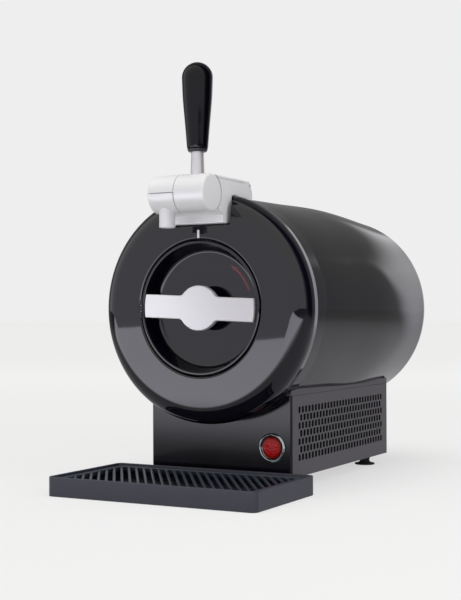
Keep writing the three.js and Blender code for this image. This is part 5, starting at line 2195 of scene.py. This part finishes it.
@dataclass(frozen=True)
class Studio:
    """The pale floor, the surroundings, a flag and the lamps."""

    eye: Vector
    face: float
    backdrop: float = 0.856
    dim: float = 0.23
    bright: float = 0.97
    rear: float = 0.75
    soft_dim: float = 0.38
    soft_bright: float = 0.3
    front_side: Point2 = (-0.087, -0.996)
    front_cone: Point2 = (0.0, 0.3)
    bright_side: Corner = (-0.866, -0.5, 0.0)
    bright_cone: Point2 = (0.5, 0.8)
    upper_cone: Point2 = (0.4, 0.9)
    dark_side: Point2 = (0.899, 0.438)
    dark_cone: Point2 = (0.945, 0.04)
    dark_share: float = 0.97
    rear_side: Point2 = (0.0, 1.0)
    rear_cone: Point2 = (0.97, 0.02)
    rear_top: Point2 = (0.3, 0.15)
    far_ring: Point2 = (1.3, 2.4)
    floor_reach: float = 30.0
    floor_grey: float = 0.25
    floor_glow: float = 0.48
    floor_seen: float = 0.585
    floor_far: float = 0.145
    floor_dim: float = 0.18
    floor_fade: float = 0.2
    floor_dark: float = 0.2
    patch: float = 3.9
    patch_right: Point2 = (1.3, 0.3)
    patch_back: Point2 = (-0.65, 0.5)
    patch_slope: float = 1.2
    patch_left: Point2 = (-0.5, 0.6)
    flag_place: Corner = (-1.283, -2.1, 0.179)
    flag_glow: float = 1.2
    flag_line: tuple[Point2, ...] = (
        (-2.5, 0.16), (-0.6, 0.16), (-0.2, 0.159), (-0.12, 0.158), (-0.099, 0.156), (-0.08, 0.153), (-0.069, 0.149),
        (-0.059, 0.143), (-0.045, 0.128), (-0.02, 0.1195), (0.0, 0.117), (0.04, 0.12), (0.065, 0.128), (0.08, 0.134),
        (0.1, 0.136), (0.14, 0.145), (0.3, 0.158), (0.6, 0.165), (1.2, 0.168),
    )
    flag_top: float = 0.3

    def build(self) -> None:
        """Create the floor, the world, the flag and the lamps."""
        self.build_world()
        self.build_floor()
        self.build_flag()
        for lamp in (
            Lamp("key", -50, 22, 2.0, (1.2, 1.0), 3, (1.0, 0.99, 0.98)),
            Lamp("top", 20, 84, 1.9, (1.4, 1.4), 29, (1.0, 1.0, 1.0)),
            Lamp("side", 85, 25, 2.2, (0.8, 1.2), 12, (0.98, 0.99, 1.0)),
        ):
            lamp.build()

    def build_world(self) -> None:
        """Surroundings that are brighter in front and low behind, and an even backdrop for the camera."""
        world = bpy.data.worlds.new("studio")
        bpy.context.scene.world = world
        world.use_nodes = True
        tree = NodeTree(world.node_tree)
        way = tree.value(tree.node("ShaderNodeTexCoord", {}, {}), "Generated")
        x, y, z = tree.split(way)
        path = tree.node("ShaderNodeLightPath", {}, {})
        seen, glossy = tree.value(path, "Is Camera Ray"), tree.value(path, "Is Glossy Ray")
        front = sector(x, y, self.front_side).above(*self.front_cone)
        dark = sector(x, y, self.dark_side).above(*self.dark_cone)
        back = sector(x, y, self.rear_side).above(*self.rear_cone) * (1.0 - z.above(*self.rear_top))
        sharp = (self.dim + front * self.bright + back * self.rear) * (1.0 - dark * self.dark_share)
        soft = self.soft_dim + tree.facing(way, self.bright_side).above(*self.bright_cone) * self.soft_bright
        level = sharp * glossy + soft * (1.0 - glossy)
        up = tree.facing(way, (0, 0, 1)).above(*self.upper_cone)
        tint = tree.mix(up, (0.985, 0.98, 1.05), (1.04, 1.0, 0.93))
        strength = level * (1.0 - seen) + seen * self.backdrop
        light = tree.node(
            "ShaderNodeBackground", {}, {"Color": tree.mix(seen, tint, (1.0, 1.0, 1.0)), "Strength": strength},
        )
        output = tree.node("ShaderNodeOutputWorld", {}, {})
        tree.links.new(light.outputs["Background"], output.inputs["Surface"])

    def build_floor(self) -> None:
        """A wide pale floor, with a bright patch in front that only gloss shows."""
        reach = self.floor_reach
        outline = [(-reach, -reach), (reach, -reach), (reach, reach), (-reach, reach)]
        floor = prism("floor", outline, Axis.Z, -1 * MM, 0)
        tree = ShaderTree("floor")
        grain = tree.noise(3.0, 2.0)
        grey = self.floor_grey
        tree.principled(
            base_color=tree.mix(grain, (grey, grey, grey), (grey * 1.02, grey * 1.02, grey * 1.02)),
            roughness=0.9,
            specular_ior_level=0.0,
        )
        x, y, _ = tree.split(tree.place())
        path = tree.node("ShaderNodeLightPath", {}, {})
        seen, glossy = tree.value(path, "Is Camera Ray"), tree.value(path, "Is Glossy Ray")
        patch = (1.0 - y.above(*self.patch_back)) * (1.0 - x.above(*self.patch_right))
        patch = patch * (x - y * self.patch_slope).above(*self.patch_left)
        far = ((x * x + y * y) ** 0.5).above(*self.far_ring)
        lift = self.floor_seen - self.floor_glow + far * self.floor_far
        dark = sector(x, y, self.dark_side).above(*self.dark_cone) * far
        back = sector(x, y, self.rear_side).above(*self.rear_cone) * far * self.rear
        mirrored = patch * self.patch + back - self.floor_dim - far * self.floor_fade - dark * self.floor_dark
        strength = self.floor_glow + seen * lift + glossy * mirrored
        tint = tree.mix(glossy, (1.0, 1.0, 1.0), (0.98, 0.975, 1.08))
        glow = tree.node("ShaderNodeEmission", {}, {"Color": tint, "Strength": strength})
        both = tree.node("ShaderNodeAddShader", {}, {0: tree.shader.outputs[0], 1: glow.outputs[0]})
        tree.links.new(both.outputs[0], tree.output.inputs["Surface"])
        tree.material.cycles.emission_sampling = "NONE"
        floor.data.materials.append(tree.material)

    def build_flag(self) -> None:
        """A wide card beyond the bright patch, which only shows in gloss; its lower edge is set out on the face."""
        level = Vector((self.flag_place[0], self.flag_place[1], 0)).normalized()
        mirrored = self.eye.copy()
        mirrored.y = 2 * self.face - mirrored.y
        lower = []
        for x, z in self.flag_line:
            ray = Vector((x, self.face, z)) - mirrored
            reach = (Vector(self.flag_place) - mirrored).dot(level) / ray.dot(level)
            lower.append(mirrored + ray * reach)
        upper = [Vector((p.x, p.y, p.z + self.flag_top)) for p in lower]
        behind = level * 2 * MM
        flag = loft("flag", [lower, upper, [p + behind for p in upper], [p + behind for p in lower]], True)
        tree = ShaderTree("flag")
        grain = tree.noise(3.0, 2.0)
        glow = tree.node(
            "ShaderNodeEmission",
            {},
            {"Color": tree.mix(grain, (0.98, 0.975, 1.06), (0.99, 0.985, 1.08)), "Strength": self.flag_glow},
        )
        tree.links.new(glow.outputs[0], tree.output.inputs["Surface"])
        tree.material.cycles.emission_sampling = "NONE"
        flag.data.materials.append(tree.material)
        flag.visible_camera = False
        flag.visible_diffuse = False
        flag.visible_transmission = False
        flag.visible_shadow = False


NODE_FINISH = {
    "door_hinge_pin": "steel",
    "insulation_jacket": "foam",
    "rear_bulkhead": "satin_black",
    "keg_connector": "satin_black",
    "button_switch": "satin_black",
    "cold_block": "aluminium",
    "thermoelectric_module": "ceramic",
    "heat_sink": "aluminium",
    "fan_frame": "satin_black",
    "fan_rotor": "satin_black",
    "air_pump": "steel",
    "power_supply": "steel",
    "control_board": "board_green",
    "lid_hinge_pin": "steel",
    "barrel_pivot": "steel",
}


def dress_nodes(nodes: dict[str, bpy.types.Object], finishes: dict[str, bpy.types.Material]) -> None:
    """Give each node that shows its own finish.

    Args:
        nodes: The frame's nodes.
        finishes: The materials by name.
    """
    for name, finish in NODE_FINISH.items():
        mesh = nodes[name].data
        mesh.materials.clear()
        mesh.materials.append(finishes[finish])


def main() -> None:
    """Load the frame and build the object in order."""
    logging.basicConfig(level=logging.INFO, format="%(message)s")
    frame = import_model()
    bpy.context.scene.view_settings.view_transform = "Standard"
    datum = Datum.from_frame(Housing.length)
    camera = PhotoCamera()
    camera.build(datum)
    Studio(camera.place(datum), datum.face).build()
    finishes = make_finishes()
    dress_nodes(frame["nodes"], finishes)
    for part in (
        Housing(datum, finishes),
        Door(datum, finishes),
        Tap(datum, finishes),
        Base(datum, finishes, frame["nodes"]),
        Tray(datum, finishes),
    ):
        part.build()
        LOG.info("%s done", type(part).__name__)


if __name__ == "__main__":
    main()
